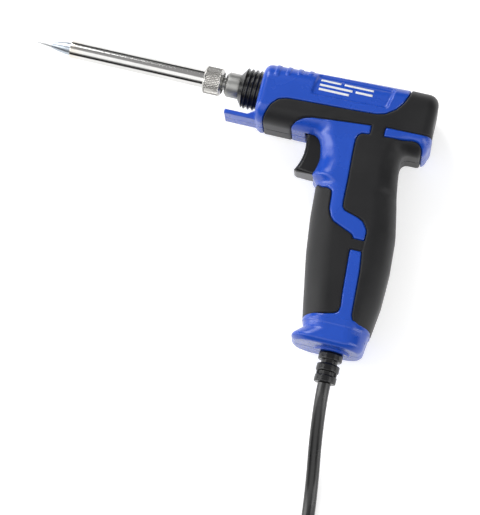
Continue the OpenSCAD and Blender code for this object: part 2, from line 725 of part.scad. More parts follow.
// places along the tail: x, y, and the share of the climb from the coil to the plug
tail_spots = [[71, -230, 0], [70.6, -238, 0.063], [68.6, -246, 0.211], [64.4, -253, 0.421],
    [58.4, -258, 0.653], [52, -260, 0.842], [46, -260, 0.968], [40, -260, 1]];
tail_start_z = lay_z + cord_d;
tail_route = [for (p = tail_spots)
    [p[0], p[1], tail_start_z + (table_z + plug_r - tail_start_z) * p[2]]];
module cord() {
    color(BLACK) place() { wire(lead_route, cord_d / 2, 10); wire(tail_route, cord_d / 2, 10); }
}
module cord_coil() {
    color(BLACK) place() translate([coil_x, coil_y, table_z]) rotate_extrude($fn = 72)
        translate([coil_inner, 0]) square([coil_outer - coil_inner, 2 * cord_d]);
}
tie_w = 5;
tie_t = 1;
module coil_tie() {
    // flat strap round the coil's winding
    color(RUBBER) place() translate([coil_x, coil_y + (coil_inner + coil_outer) / 2, table_z])
        difference() {
            translate([-tie_w / 2, -1.5 * cord_d - tie_t - part_gap, 0])
                cube([tie_w, 3 * cord_d + 2 * tie_t + 2 * part_gap,
                    2 * cord_d + tie_t + part_gap]);
            translate([-tie_w, -1.5 * cord_d - part_gap - 0.6, -1])
                cube([2 * tie_w, 3 * cord_d + 2 * part_gap + 1.2,
                    2 * cord_d + 1 + part_gap]);
        }
}
plug_y = -260;
plug_z = table_z + plug_r;
plug_back = 40;
relief_len = 18;
plug_len = 38;
plug_face = plug_back - relief_len - plug_len;
pin_root = 12;        // length of each pin inside the plug
pin_root_r = plug_pin_r - 0.2;
module at_plug(x) { translate([x, plug_y, plug_z]) rotate([0, -90, 0]) children(); }
module plug_body() {
    hub = 9;
    color(BLACK) place() difference() {
        at_plug(plug_back) rotate_extrude($fn = 64) polygon([[0, 0], [4.2, 0],
            [6, relief_len], [hub, relief_len + 3], [hub + 1.5, relief_len + 14],
            [plug_r - 3, relief_len + 20], [plug_r, relief_len + 24],
            [plug_r, relief_len + plug_len], [0, relief_len + plug_len]]);
        for (s = [-1, 1]) {
            at_plug(plug_face + pin_root) translate([0, s * plug_pitch / 2, 0])
                cylinder(h = 20, r = pin_root_r, $fn = 48);
            at_plug(plug_face + clip_len) translate([s * plug_r, 0, clip_len / 2])
                cube([2 * clip_deep, clip_w + 0.6, clip_len + 2], center = true);
        }
    }
}
clip_len = 14;
clip_w = 5;
clip_deep = 2.6;
module plug_pins() {
    nose = 1.2;
    whole = pin_root + plug_pin_len;
    color(STEEL) place() for (s = [-1, 1]) at_plug(plug_face + pin_root)
        translate([0, s * plug_pitch / 2, 0]) rotate_extrude($fn = 48)
            polygon([[0, 0], [pin_root_r, 0], [pin_root_r, pin_root],
                [plug_pin_r, pin_root], [plug_pin_r, whole - nose],
                [plug_pin_r - nose, whole], [0, whole]]);
}
module plug_earth_clips() {
    color(STEEL) place() for (s = [-1, 1]) at_plug(plug_face + clip_len)
        translate([s * (plug_r - clip_deep + 0.4), 0, clip_len / 2 - 0.5])
            cube([0.8, clip_w, clip_len - 1], center = true);
}

housing_left();
housing_right();
grip_skin_left();
grip_skin_right();
front_collar();
ferrule();
union_nut();
barrel_sleeve();
soldering_tip();
heater_rod();
heater_socket();
heater_leads();
earth_lead();
terminal_block();
terminal_screws();
diode();
switch_body();
switch_plunger();
switch_terminals();
switch_wires();
trigger();
trigger_pin();
trigger_spring();
cord_clamp();
clamp_screws();
strain_relief();
cord_inner_end();
mains_wires();
housing_screws();
cord();
cord_coil();
coil_tie();
plug_body();
plug_pins();
plug_earth_clips();
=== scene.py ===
"""Looks of a pistol-grip soldering iron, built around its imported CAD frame."""

import logging
import math
from collections.abc import Callable, Sequence
from dataclasses import dataclass
from enum import Enum
from itertools import product

import bpy
import numpy as np
from mathutils import Matrix, Vector


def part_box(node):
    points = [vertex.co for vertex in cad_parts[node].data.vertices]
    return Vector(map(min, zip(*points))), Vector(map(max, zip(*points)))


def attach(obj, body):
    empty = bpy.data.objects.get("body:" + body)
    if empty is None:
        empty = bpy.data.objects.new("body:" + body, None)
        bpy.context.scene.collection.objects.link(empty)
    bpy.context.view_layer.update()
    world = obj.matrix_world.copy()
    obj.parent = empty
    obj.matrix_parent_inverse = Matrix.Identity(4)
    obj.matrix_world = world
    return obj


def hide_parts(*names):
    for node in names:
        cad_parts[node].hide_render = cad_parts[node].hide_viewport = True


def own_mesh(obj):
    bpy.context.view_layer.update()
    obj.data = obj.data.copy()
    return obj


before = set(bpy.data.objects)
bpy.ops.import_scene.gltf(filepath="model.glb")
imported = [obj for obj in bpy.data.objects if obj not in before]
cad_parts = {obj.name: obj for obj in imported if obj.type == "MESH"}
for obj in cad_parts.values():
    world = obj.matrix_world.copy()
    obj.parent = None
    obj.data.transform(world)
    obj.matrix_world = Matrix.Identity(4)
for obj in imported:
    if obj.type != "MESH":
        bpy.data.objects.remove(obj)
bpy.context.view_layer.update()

LOG = logging.getLogger("iron")
MM = 0.001
Array = np.ndarray
Point = tuple[float, float, float]
Outline = Sequence[tuple[float, float]]

# Inside the classes sizes are millimetres in the tool's own frame: x counts back from
# the housing's reference face, y up from the barrel axis, z out from the mid-plane.
TAB_FRONT = -12.3
REFERENCE_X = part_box("housing_left")[0].x / MM - TAB_FRONT
TABLE_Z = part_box("cord_coil")[0].z / MM
CORD_X = 63.0
SCREW_SPOTS: Outline = ((15.5, -10.6), (40, 6), (77.6, 6), (67.5, -34), (46.5, -50), (71, -84))


class Body(Enum):
    """The bodies that the pieces made here ride on."""

    HOUSING = "body"
    BARREL = "barrel"
    NUT = "nut"
    TRIGGER = "trigger"


class Side(Enum):
    """The two halves of the housing, by the sign of their z."""

    LEFT = 1
    RIGHT = -1


# ---------------------------------------------------------------- meshes

def to_world(points: Array) -> Array:
    """Turns points in the tool's millimetres into metres in the shared frame."""
    moved = np.asarray(points, float) + (REFERENCE_X, 0.0, 0.0)
    return moved * MM


def place_object(name: str, data: bpy.types.ID) -> bpy.types.Object:
    """Makes an object of a mesh, curve, lamp or camera and links it to the scene."""
    placed = bpy.data.objects.new(name, data)
    bpy.context.scene.collection.objects.link(placed)
    return placed


def new_object(name: str, points: Array, faces: Sequence, edges: Sequence = ()) -> bpy.types.Object:
    """Makes a smooth mesh object from points in the tool's millimetres.

    Args:
        name: Name of the piece.
        points: Vertex places, one row each.
        faces: Vertex numbers of each face.
        edges: Vertex numbers of each edge that no face gives.

    Returns:
        The linked object, which sits at the origin.
    """
    mesh = bpy.data.meshes.new(name)
    rows = faces.tolist() if isinstance(faces, Array) else faces
    mesh.from_pydata(to_world(points).tolist(), edges, rows)
    mesh.validate()
    mesh.shade_smooth()
    return place_object(name, mesh)


def apply_modifiers(piece: bpy.types.Object) -> None:
    """Turns a piece and its modifiers into one plain mesh."""
    shown = piece.evaluated_get(bpy.context.evaluated_depsgraph_get())
    mesh = bpy.data.meshes.new_from_object(shown)
    piece.modifiers.clear()
    old = piece.data
    piece.data = mesh
    bpy.data.meshes.remove(old)


# ---------------------------------------------------------------- fields
# A field is the distance in millimetres to a form's surface, negative inside it.

def rounded_box(u: Array, v: Array, half_u: Array, half_v: Array, r: Array) -> Array:
    """Distance to a rectangle with round corners, centred on zero."""
    a = np.abs(u) - (half_u - r)
    b = np.abs(v) - (half_v - r)
    return np.hypot(np.maximum(a, 0), np.maximum(b, 0)) + np.minimum(np.maximum(a, b), 0) - r


def both(a: Array, b: Array, r: float = 0.2) -> Array:
    """What lies in both fields, with its outer edge rounded to radius r."""
    ua = np.maximum(a + r, 0)
    ub = np.maximum(b + r, 0)
    return np.minimum(np.maximum(a, b), -r) + np.hypot(ua, ub)


def blended(a: Array, b: Array, k: float) -> Array:
    """What lies in either field, with a fillet of about k between them."""
    h = np.clip(0.5 + 0.5 * (b - a) / k, 0, 1)
    return b * (1 - h) + a * h - k * h * (1 - h)


def cut(a: Array, hole: Array, r: float = 0.2) -> Array:
    """Field a without a hole, whose rim is rounded to radius r."""
    return both(a, -hole, r)


def ease_weights(ease: float, step: float) -> Array:
    """Weights that spread a sampled value over its neighbours."""
    reach = max(1, int(3 * ease / step))
    weights = np.exp(-0.5 * (np.arange(-reach, reach + 1) * step / ease) ** 2)
    return weights / weights.sum()


def polygon_distance(x: Array, y: Array, outline: Outline) -> Array:
    """Distance to a closed outline in the xy plane, negative inside it."""
    pts = np.asarray(outline, float)
    best = np.full(x.shape, np.inf)
    inside = np.zeros(x.shape, bool)
    for (ax, ay), (bx, by) in zip(pts, np.roll(pts, -1, axis=0)):
        ex, ey = bx - ax, by - ay
        t = np.clip(((x - ax) * ex + (y - ay) * ey) / (ex * ex + ey * ey), 0, 1)
        best = np.minimum(best, (x - ax - t * ex) ** 2 + (y - ay - t * ey) ** 2)
        crosses = (ay > y) != (by > y)
        with np.errstate(divide="ignore", invalid="ignore"):
            inside ^= crosses & (x < ex * (y - ay) / (ey if ey else 1e-12) + ax)
    return np.where(inside, -1, 1) * np.sqrt(best)


class Region:
    """Several outlines seen from the side, as one distance map with eased corners."""

    def __init__(self, outlines: Sequence[Outline], low: tuple[float, float],
                 high: tuple[float, float], ease: float = 0.7, step: float = 0.25) -> None:
        """Samples the map.

        Args:
            outlines: Closed outlines whose union is the region.
            low: Lowest x and y of the map.
            high: Highest x and y of the map.
            ease: How far corners are eased.
            step: Distance between the map's samples.
        """
        self.low, self.step = low, step
        xs = np.arange(low[0], high[0] + step, step)
        ys = np.arange(low[1], high[1] + step, step)
        gx, gy = np.meshgrid(xs, ys, indexing="ij")
        far = np.minimum.reduce([polygon_distance(gx, gy, o) for o in outlines])
        weights = ease_weights(ease, step)
        reach = len(weights) // 2
        for axis in (0, 1):
            padded = np.pad(far, [(reach, reach) if a == axis else (0, 0) for a in (0, 1)], "edge")
            rows = [np.take(padded, range(i, i + far.shape[axis]), axis) * w
                    for i, w in enumerate(weights)]
            far = np.sum(rows, axis=0)
        self.values = far

    def __call__(self, x: Array, y: Array) -> Array:
        """Distance to the region at points, read between the samples."""
        u = np.clip((x - self.low[0]) / self.step, 0, self.values.shape[0] - 1.001)
        v = np.clip((y - self.low[1]) / self.step, 0, self.values.shape[1] - 1.001)
        i, j = u.astype(int), v.astype(int)
        fu, fv = u - i, v - j
        table = self.values
        near = table[i, j] * (1 - fv) + table[i, j + 1] * fv
        past = table[i + 1, j] * (1 - fv) + table[i + 1, j + 1] * fv
        return near * (1 - fu) + past * fu


Field = Callable[[Array, Array, Array], Array]


def surface_of(form: Field, low: Point, high: Point, step: float) -> tuple[Array, Array]:
    """Finds the surface of a field on a grid, one vertex in each cell that it crosses.

    Args:
        form: The field, negative inside the form.
        low: Lowest corner of the grid.
        high: Highest corner of the grid.
        step: Size of a cell.

    Returns:
        Vertex places and rows of four vertex numbers, facing outwards.
    """
    axes = [np.arange(a, b + step, step) for a, b in zip(low, high)]
    values = form(axes[0][:, None, None], axes[1][None, :, None], axes[2][None, None, :])
    inside = values < 0
    nx, ny, nz = (n - 1 for n in values.shape)
    corners = sum(inside[i:nx + i, j:ny + j, k:nz + k].astype(np.int8)
                  for i, j, k in product((0, 1), repeat=3))
    cells = np.argwhere((corners > 0) & (corners < 8))
    number = np.full((nx, ny, nz), -1)
    number[tuple(cells.T)] = np.arange(len(cells))
    total = np.zeros((len(cells), 3))
    count = np.zeros(len(cells))
    for axis in range(3):
        along = np.eye(3, dtype=int)[axis]
        for u, v in product((0, 1), repeat=2):
            offset = np.insert([u, v], axis, 0)
            a = values[tuple((cells + offset).T)]
            b = values[tuple((cells + offset + along).T)]
            hit = (a < 0) != (b < 0)
            share = np.where(hit, a / np.where(hit, a - b, 1), 0)
            total += hit[:, None] * (offset + share[:, None] * along)
            count += hit
    points = np.asarray(low) + (cells + total / count[:, None]) * step
    quads = []
    for axis in range(3):
        near = np.take(inside, range(values.shape[axis] - 1), axis)
        past = np.take(inside, range(1, values.shape[axis]), axis)
        edges = np.argwhere(near != past)
        leaving = near[tuple(edges.T)]
        one, two = ((1, 2), (2, 0), (0, 1))[axis]
        ring = []
        for u, v in ((-1, -1), (0, -1), (0, 0), (-1, 0)):
            cell = edges.copy()
            cell[:, one] += u
            cell[:, two] += v
            ring.append(number[tuple(cell.T)])
        rows = np.stack(ring, axis=1)
        rows[~leaving] = rows[~leaving][:, ::-1]
        quads.append(rows)
    return points, np.concatenate(quads)


def slope_of(form: Field, points: Array, reach: float = 0.04) -> tuple[Array, Array]:
    """Value of a field at points, and its unit direction of growth there."""
    value = form(*points.T)
    sides = [form(*(points + reach * e).T) - form(*(points - reach * e).T) for e in np.eye(3)]
    grown = np.stack(sides, axis=1) / (2 * reach)
    length = np.linalg.norm(grown, axis=1, keepdims=True)
    return value, grown / np.maximum(length, 1e-6)


def sculpt(name: str, form: Field, low: Point, high: Point, step: float,
           most: int, mirror: bool = False) -> bpy.types.Object:
    """Makes a mesh of a field, thinned where it is flat and drawn back to the field.

    Args:
        name: Name of the piece.
        form: The field, negative inside the form.
        low: Lowest corner of the space that holds the form.
        high: Highest corner of that space.
        step: Size of the sampling cells.
        most: The most triangles that the mesh may have.
        mirror: Whether the mesh is turned over to negative z.

    Returns:
        The piece, with its normals taken from the field.
    """
    points, quads = surface_of(form, low, high, step)
    piece = new_object(name, points, quads)
    triangles = 2 * len(quads)
    if triangles > most:
        thin = piece.modifiers.new("thin", "DECIMATE")
        thin.ratio = most / triangles
        apply_modifiers(piece)
    mesh = piece.data
    places = np.empty(len(mesh.vertices) * 3, np.float32)
    mesh.vertices.foreach_get("co", places)
    places = places.reshape(-1, 3).astype(float) / MM - (REFERENCE_X, 0.0, 0.0)
    for _ in range(2):
        value, out = slope_of(form, places)
        places -= out * np.clip(value, -0.3 * step, 0.3 * step)[:, None]
    _, out = slope_of(form, places, 0.12)
    if mirror:
        places[:, 2] *= -1
        out[:, 2] *= -1
        mesh.flip_normals()
    mesh.vertices.foreach_set("co", to_world(places).astype(np.float32).ravel())
    mesh.update()
    mesh.shade_smooth()
    mesh.normals_split_custom_set_from_vertices(out.tolist())
    return piece

# ---------------------------------------------------------------- node nets

Socket = bpy.types.NodeSocket
Value = object


class Net:
    """A node tree that is filled one node at a time."""

    def __init__(self, tree: bpy.types.NodeTree) -> None:
        """Takes an empty tree to fill."""
        self.tree = tree

    def add(self, kind: str, inputs: dict | None = None, **settings: Value) -> bpy.types.Node:
        """Adds a node.

        Args:
            kind: The node's type name.
            inputs: A value or a socket for each input, by its name or number.
            settings: The node's own properties.

        Returns:
            The node.
        """
        node = self.tree.nodes.new(kind)
        for name, value in settings.items():
            setattr(node, name, value)
        for key, value in (inputs or {}).items():
            self.fill(node.inputs[key], value)
        return node

    def fill(self, socket: Socket, value: Value) -> None:
        """Links another socket to an input, or sets the input's own value."""
        if isinstance(value, Socket):
            self.tree.links.new(value, socket)
        else:
            socket.default_value = value

    def math(self, operation: str, a: Value, b: Value = 0.0, c: Value = 0.0) -> Socket:
        """Adds a math node and returns its result."""
        return self.add("ShaderNodeMath", {0: a, 1: b, 2: c}, operation=operation).outputs[0]

    def spread(self, value: Socket, low: float, high: float, to_low: float,
               to_high: float) -> Socket:
        """Maps a value from one range to another, held at its ends."""
        return self.add("ShaderNodeMapRange", {0: value, 1: low, 2: high, 3: to_low,
                                               4: to_high}).outputs[0]

    def mix(self, share: Value, a: Value, b: Value) -> Socket:
        """Mixes two colours."""
        node = self.add("ShaderNodeMix", {"Factor": share, 6: a, 7: b}, data_type="RGBA")
        return node.outputs[2]


def start_group(name: str, kind: str, takes: dict[str, tuple], gives: dict[str, str]) -> tuple:
    """Starts a node group with named sockets.

    Args:
        name: The group's name.
        kind: The type of its tree.
        takes: Socket type and default of each input.
        gives: Socket type of each output.

    Returns:
        The net, the group's input node and its output node.
    """
    tree = bpy.data.node_groups.new(name, kind)
    for label, (socket, default) in takes.items():
        made = tree.interface.new_socket(label, in_out="INPUT", socket_type=socket)
        if default is not None:
            made.default_value = default
    for label, socket in gives.items():
        tree.interface.new_socket(label, in_out="OUTPUT", socket_type=socket)
    net = Net(tree)
    return net, net.add("NodeGroupInput"), net.add("NodeGroupOutput")


FLOAT, VECTOR, GEOMETRY = "NodeSocketFloat", "NodeSocketVector", "NodeSocketGeometry"


class Effects:
    """Shader groups that several finishes use."""

    def __init__(self) -> None:
        """Builds each group once."""
        self.grain = self.make_grain()
        self.scuffs = self.make_scuffs()
        self.lines = self.make_lines()

    @staticmethod
    def make_grain() -> bpy.types.NodeTree:
        """Fine moulded grain, with a slow cloud for colour and gloss."""
        net, given, out = start_group(
            "moulded_grain", "ShaderNodeTree",
            {"Place": (VECTOR, None), "Scale": (FLOAT, 2000.0), "Cloud": (FLOAT, 60.0)},
            {"Height": FLOAT, "Mask": FLOAT})
        place, scale = given.outputs["Place"], given.outputs["Scale"]
        fine = net.add("ShaderNodeTexNoise", {"Vector": place, "Scale": scale,
                                              "Detail": 3.0, "Roughness": 0.6})
        cells = net.add("ShaderNodeTexVoronoi", {"Vector": place, "Scale": scale},
                        feature="SMOOTH_F1")
        height = net.math("MULTIPLY_ADD", cells.outputs["Distance"], 0.5, fine.outputs[0])
        cloud = net.add("ShaderNodeTexNoise", {"Vector": place, "Detail": 4.0,
                                               "Scale": given.outputs["Cloud"]})
        mask = net.spread(cloud.outputs[0], 0.3, 0.7, 0.0, 1.0)
        net.tree.links.new(height, out.inputs["Height"])
        net.tree.links.new(mask, out.inputs["Mask"])
        return net.tree

    @staticmethod
    def make_scuffs() -> bpy.types.NodeTree:
        """Thin handling marks in patches."""
        net, given, out = start_group(
            "scuffs", "ShaderNodeTree",
            {"Place": (VECTOR, None), "Scale": (FLOAT, 120.0), "Amount": (FLOAT, 0.3)},
            {"Mask": FLOAT})
        bent = net.add("ShaderNodeTexNoise", {"Vector": given.outputs["Place"],
                                              "Scale": 40.0, "Detail": 2.0})
        push = net.add("ShaderNodeVectorMath", {0: bent.outputs["Color"],
                                                1: (0.02, 0.02, 0.02)},
                       operation="MULTIPLY")
        place = net.add("ShaderNodeVectorMath", {0: given.outputs["Place"],
                                                 1: push.outputs[0]}, operation="ADD")
        streak = net.add("ShaderNodeMapping", {"Vector": place.outputs[0],
                                               "Rotation": (0.3, 0.2, 0.9),
                                               "Scale": (1.0, 14.0, 6.0)})
        marks = net.add("ShaderNodeTexNoise", {"Vector": streak.outputs[0],
                                               "Scale": given.outputs["Scale"],
                                               "Detail": 2.0})
        thin = net.spread(marks.outputs[0], 0.62, 0.68, 0.0, 1.0)
        patches = net.spread(bent.outputs[0], 0.45, 0.65, 0.0, 1.0)
        worn = net.math("MULTIPLY", net.math("MULTIPLY", thin, patches),
                        given.outputs["Amount"])
        net.tree.links.new(worn, out.inputs["Mask"])
        return net.tree

    @staticmethod
    def make_lines() -> bpy.types.NodeTree:
        """Fine turning lines across the barrel's axis."""
        net, given, out = start_group(
            "turning_lines", "ShaderNodeTree",
            {"Place": (VECTOR, None), "Scale": (FLOAT, 900.0)},
            {"Height": FLOAT, "Mask": FLOAT})
        flat = net.add("ShaderNodeMapping", {"Vector": given.outputs["Place"],
                                             "Scale": (1.0, 0.02, 0.02)})
        fine = net.add("ShaderNodeTexNoise", {"Vector": flat.outputs[0],
                                              "Scale": given.outputs["Scale"],
                                              "Detail": 4.0})
        soft = net.add("ShaderNodeTexNoise", {"Vector": given.outputs["Place"],
                                              "Scale": 90.0, "Detail": 3.0})
        net.tree.links.new(fine.outputs[0], out.inputs["Height"])
        net.tree.links.new(net.spread(soft.outputs[0], 0.35, 0.7, 0.0, 1.0),
                           out.inputs["Mask"])
        return net.tree


Colour = tuple[float, float, float]
PLASTIC_IOR = 1.5


class Texture(Enum):
    """Which effect gives a finish its surface."""

    GRAIN = "grain"
    LINES = "lines"


@dataclass(frozen=True)
class Finish:
    """One finish of the object.

    Attributes:
        name: The material's name.
        colour: Its main colour.
        shade: The colour that its cloud mixes in.
        rough: Roughness at its smoothest.
        rough_more: Roughness at its dullest.
        texture: Which effect makes its surface.
        scale: How fine that surface is.
        cloud: How fine the slow change of colour and gloss is.
        bump: Height of the surface's texture, in metres.
        metal: How metallic it is.
        coat: Weight of a clear gloss over it.
        sheen: Weight of the soft glow at grazing angles.
        scuffed: How strongly handling marks show.
        shine: Strength of its mirror reflection, 0.5 for plain plastic.
    """

    name: str
    colour: Colour
    shade: Colour
    rough: float = 0.3
    rough_more: float = 0.4
    texture: Texture = Texture.GRAIN
    scale: float = 2500.0
    cloud: float = 60.0
    bump: float = 0.00002
    metal: float = 0.0
    coat: float = 0.0
    sheen: float = 0.0
    scuffed: float = 0.0
    shine: float = 0.5

    def base(self, net: Net, place: Socket, mask: Socket) -> Socket:
        """The colour before handling marks."""
        return net.mix(mask, (*self.colour, 1), (*self.shade, 1))

    def build(self, effects: Effects) -> bpy.types.Material:
        """Makes the material.

        Args:
            effects: The shader groups.

        Returns:
            The material.
        """
        material = bpy.data.materials.new(self.name)
        material.use_nodes = True
        material.diffuse_color = (*self.colour, 1)
        net = Net(material.node_tree)
        shader = material.node_tree.nodes["Principled BSDF"]
        for label, value in (("Metallic", self.metal), ("Coat Weight", self.coat),
                             ("Coat Roughness", 0.08), ("Sheen Weight", self.sheen),
                             ("Sheen Roughness", 0.45), ("IOR", PLASTIC_IOR),
                             ("Specular IOR Level", self.shine)):
            shader.inputs[label].default_value = value
        place = net.add("ShaderNodeTexCoord").outputs["Object"]
        group = effects.grain if self.texture is Texture.GRAIN else effects.lines
        surface = net.add("ShaderNodeGroup", node_tree=group)
        net.tree.links.new(place, surface.inputs["Place"])
        surface.inputs["Scale"].default_value = self.scale
        if self.texture is Texture.GRAIN:
            surface.inputs["Cloud"].default_value = self.cloud
        mask, height = surface.outputs["Mask"], surface.outputs["Height"]
        colour = self.base(net, place, mask)
        rough = net.spread(mask, 0.0, 1.0, self.rough, self.rough_more)
        if self.scuffed:
            worn = net.add("ShaderNodeGroup", node_tree=effects.scuffs)
            net.tree.links.new(place, worn.inputs["Place"])
            worn.inputs["Amount"].default_value = self.scuffed
            pale = tuple(0.75 * c + 0.12 for c in self.colour)
            colour = net.mix(worn.outputs["Mask"], colour, (*pale, 1))
            rough = net.math("MULTIPLY_ADD", worn.outputs["Mask"], 0.25, rough)
        bump = net.add("ShaderNodeBump", {"Height": height, "Distance": self.bump,
                                          "Strength": 1.0})
        net.tree.links.new(colour, shader.inputs["Base Color"])
        net.tree.links.new(rough, shader.inputs["Roughness"])
        net.tree.links.new(bump.outputs[0], shader.inputs["Normal"])
        return material


@dataclass(frozen=True)
class HeatedFinish(Finish):
    """A metal whose colour changes along the barrel, towards its hot end.

    Attributes:
        hot: Colour at the hot end.
        hot_x: Place along the axis, in metres, where the change is complete.
        cold_x: Place along the axis, in metres, where the change begins.
    """

    hot: Colour = (0.5, 0.4, 0.28)
    hot_x: float = 0.0
    cold_x: float = 0.0

    def base(self, net: Net, place: Socket, mask: Socket) -> Socket:
        """The clouded metal, mixed into the hot end's colour along a ragged line."""
        cold = super().base(net, place, mask)
        x = net.add("ShaderNodeSeparateXYZ", {0: place}).outputs["X"]
        ragged = net.math("MULTIPLY_ADD", mask, 0.0012, x)
        share = net.spread(ragged, self.hot_x, self.cold_x, 1.0, 0.0)
        return net.mix(share, cold, (*self.hot, 1))


class Finishes:
    """Every material of the object."""

    def __init__(self) -> None:
        """Builds the shader groups and the materials."""
        effects = Effects()
        tip_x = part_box("soldering_tip")[0].x
        sleeve_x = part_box("barrel_sleeve")[0].x
        recipes = {
            "blue": Finish("blue_abs", (0.007, 0.060, 0.42), (0.009, 0.068, 0.46), 0.24,
                           0.3, scale=3600, bump=0.0000025, scuffed=0.015),
            "rubber": Finish("soft_grip", (0.005, 0.005, 0.006), (0.009, 0.009, 0.010),
                             0.46, 0.56, scale=3400, bump=0.00002, sheen=0.12,
                             scuffed=0.03, shine=0.3),
            "black": Finish("black_gloss", (0.004, 0.004, 0.005), (0.007, 0.007, 0.008),
                            0.2, 0.3, scale=1500, bump=0.000006, scuffed=0.06),
            "cord": Finish("cord_sheath", (0.004, 0.004, 0.005), (0.008, 0.008, 0.008),
                           0.24, 0.34, scale=1200, bump=0.00001, scuffed=0.08),
            "steel": HeatedFinish("polished_steel", (0.66, 0.65, 0.64), (0.6, 0.6, 0.59),
                                  0.12, 0.17, Texture.LINES, 1400, bump=0.0000015, metal=1.0,
                                  hot=(0.66, 0.62, 0.56), hot_x=sleeve_x,
                                  cold_x=sleeve_x + 0.007),
            "nickel": Finish("nickel", (0.54, 0.53, 0.51), (0.46, 0.45, 0.43), 0.2, 0.3,
                             Texture.LINES, 1100, bump=0.000003, metal=1.0),
            "satin": Finish("satin_nickel", (0.40, 0.40, 0.39), (0.33, 0.33, 0.32), 0.34, 0.46,
                            Texture.LINES, 1300, bump=0.000004, metal=1.0),
            "plating": HeatedFinish("tip_plating", (0.44, 0.48, 0.53), (0.36, 0.40, 0.45),
                                    0.26, 0.4, Texture.LINES, 700, bump=0.000003,
                                    metal=1.0, hot=(0.58, 0.59, 0.6),
                                    hot_x=tip_x + 0.0085, cold_x=tip_x + 0.0092),
            "ceramic": Finish("ceramic", (0.78, 0.75, 0.68), (0.66, 0.62, 0.55), 0.6, 0.8,
                              bump=0.00002),
            "pale": Finish("pale_plastic", (0.68, 0.66, 0.55), (0.6, 0.57, 0.47), 0.4, 0.55),
            "red": Finish("red_plastic", (0.35, 0.02, 0.015), (0.28, 0.015, 0.01), 0.35,
                          0.5),
            "brass": Finish("brass", (0.75, 0.55, 0.24), (0.62, 0.43, 0.18), 0.25, 0.4,
                            Texture.LINES, metal=1.0, bump=0.000002),
            "sleeving": Finish("glass_sleeving", (0.7, 0.69, 0.62), (0.58, 0.56, 0.5), 0.7,
                               0.85, scale=2200, bump=0.00005),
            "green": Finish("green_wire", (0.1, 0.3, 0.02), (0.55, 0.5, 0.03), 0.4, 0.5,
                            cloud=250),
            "brown": Finish("brown_wire", (0.11, 0.035, 0.012), (0.08, 0.026, 0.01), 0.4,
                            0.5),
            "spring": Finish("spring_steel", (0.42, 0.42, 0.42), (0.34, 0.34, 0.35), 0.25,
                             0.4, Texture.LINES, metal=1.0, bump=0.000002),
            "print": Finish("white_print", (0.8, 0.8, 0.8), (0.7, 0.71, 0.73), 0.45, 0.6,
                            bump=0.00001),
        }
        for label, recipe in recipes.items():
            setattr(self, label, recipe.build(effects))


def dress(piece: bpy.types.Object, material: bpy.types.Material, body: Body, slot: str,
          *nodes: str) -> None:
    """Gives a piece its material and its place in the frame.

    Args:
        piece: The piece.
        material: Its material.
        body: The body that it moves with.
        slot: The record's material slot that it stands for; not used.
        nodes: The CAD nodes that it stands for.
    """
    piece.data.materials.clear()
    piece.data.materials.append(material)
    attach(piece, body.value)
    if nodes:
        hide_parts(*nodes)
    LOG.info("%s: rides on %s", piece.name, body.value)


# ---------------------------------------------------------------- housing and grip

@dataclass(frozen=True)
class Level:
    """One level of the grip or base, seen from above.

    Attributes:
        y: Height of the level.
        front: Front of the section.
        back: Back of the section.
        half_w: Half of its width.
        r: Radius of its corners.
    """

    y: float
    front: float
    back: float
    half_w: float
    r: float


def level_values(levels: Sequence[Level], y: Array, ease: float) -> list[Array]:
    """Front, back, half width and corner radius at heights, eased between the levels.

    Args:
        levels: The levels, from the top down.
        y: Heights to read.
        ease: Height over which the change at a level is spread.

    Returns:
        The four values at each height.
    """
    step, margin = 0.2, 2.0
    fine = np.arange(levels[-1].y - margin, levels[0].y + margin, step)
    weights = ease_weights(ease, step)
    rows = []
    for name in ("front", "back", "half_w", "r"):
        values = [getattr(level, name) for level in reversed(levels)]
        line = np.interp(fine, [level.y for level in reversed(levels)], values)
        line = np.convolve(np.pad(line, len(weights) // 2, "edge"), weights, "valid")
        rows.append(np.interp(y, fine, line))
    return rows


def section_distance(levels: Sequence[Level], x: Array, y: Array, z: Array,
                     ease: float) -> Array:
    """Distance to the round-cornered sections that a list of levels describes."""
    front, back, half_w, r = level_values(levels, y, ease)
    return rounded_box(x - (front + back) / 2, z, (back - front) / 2, half_w, r)


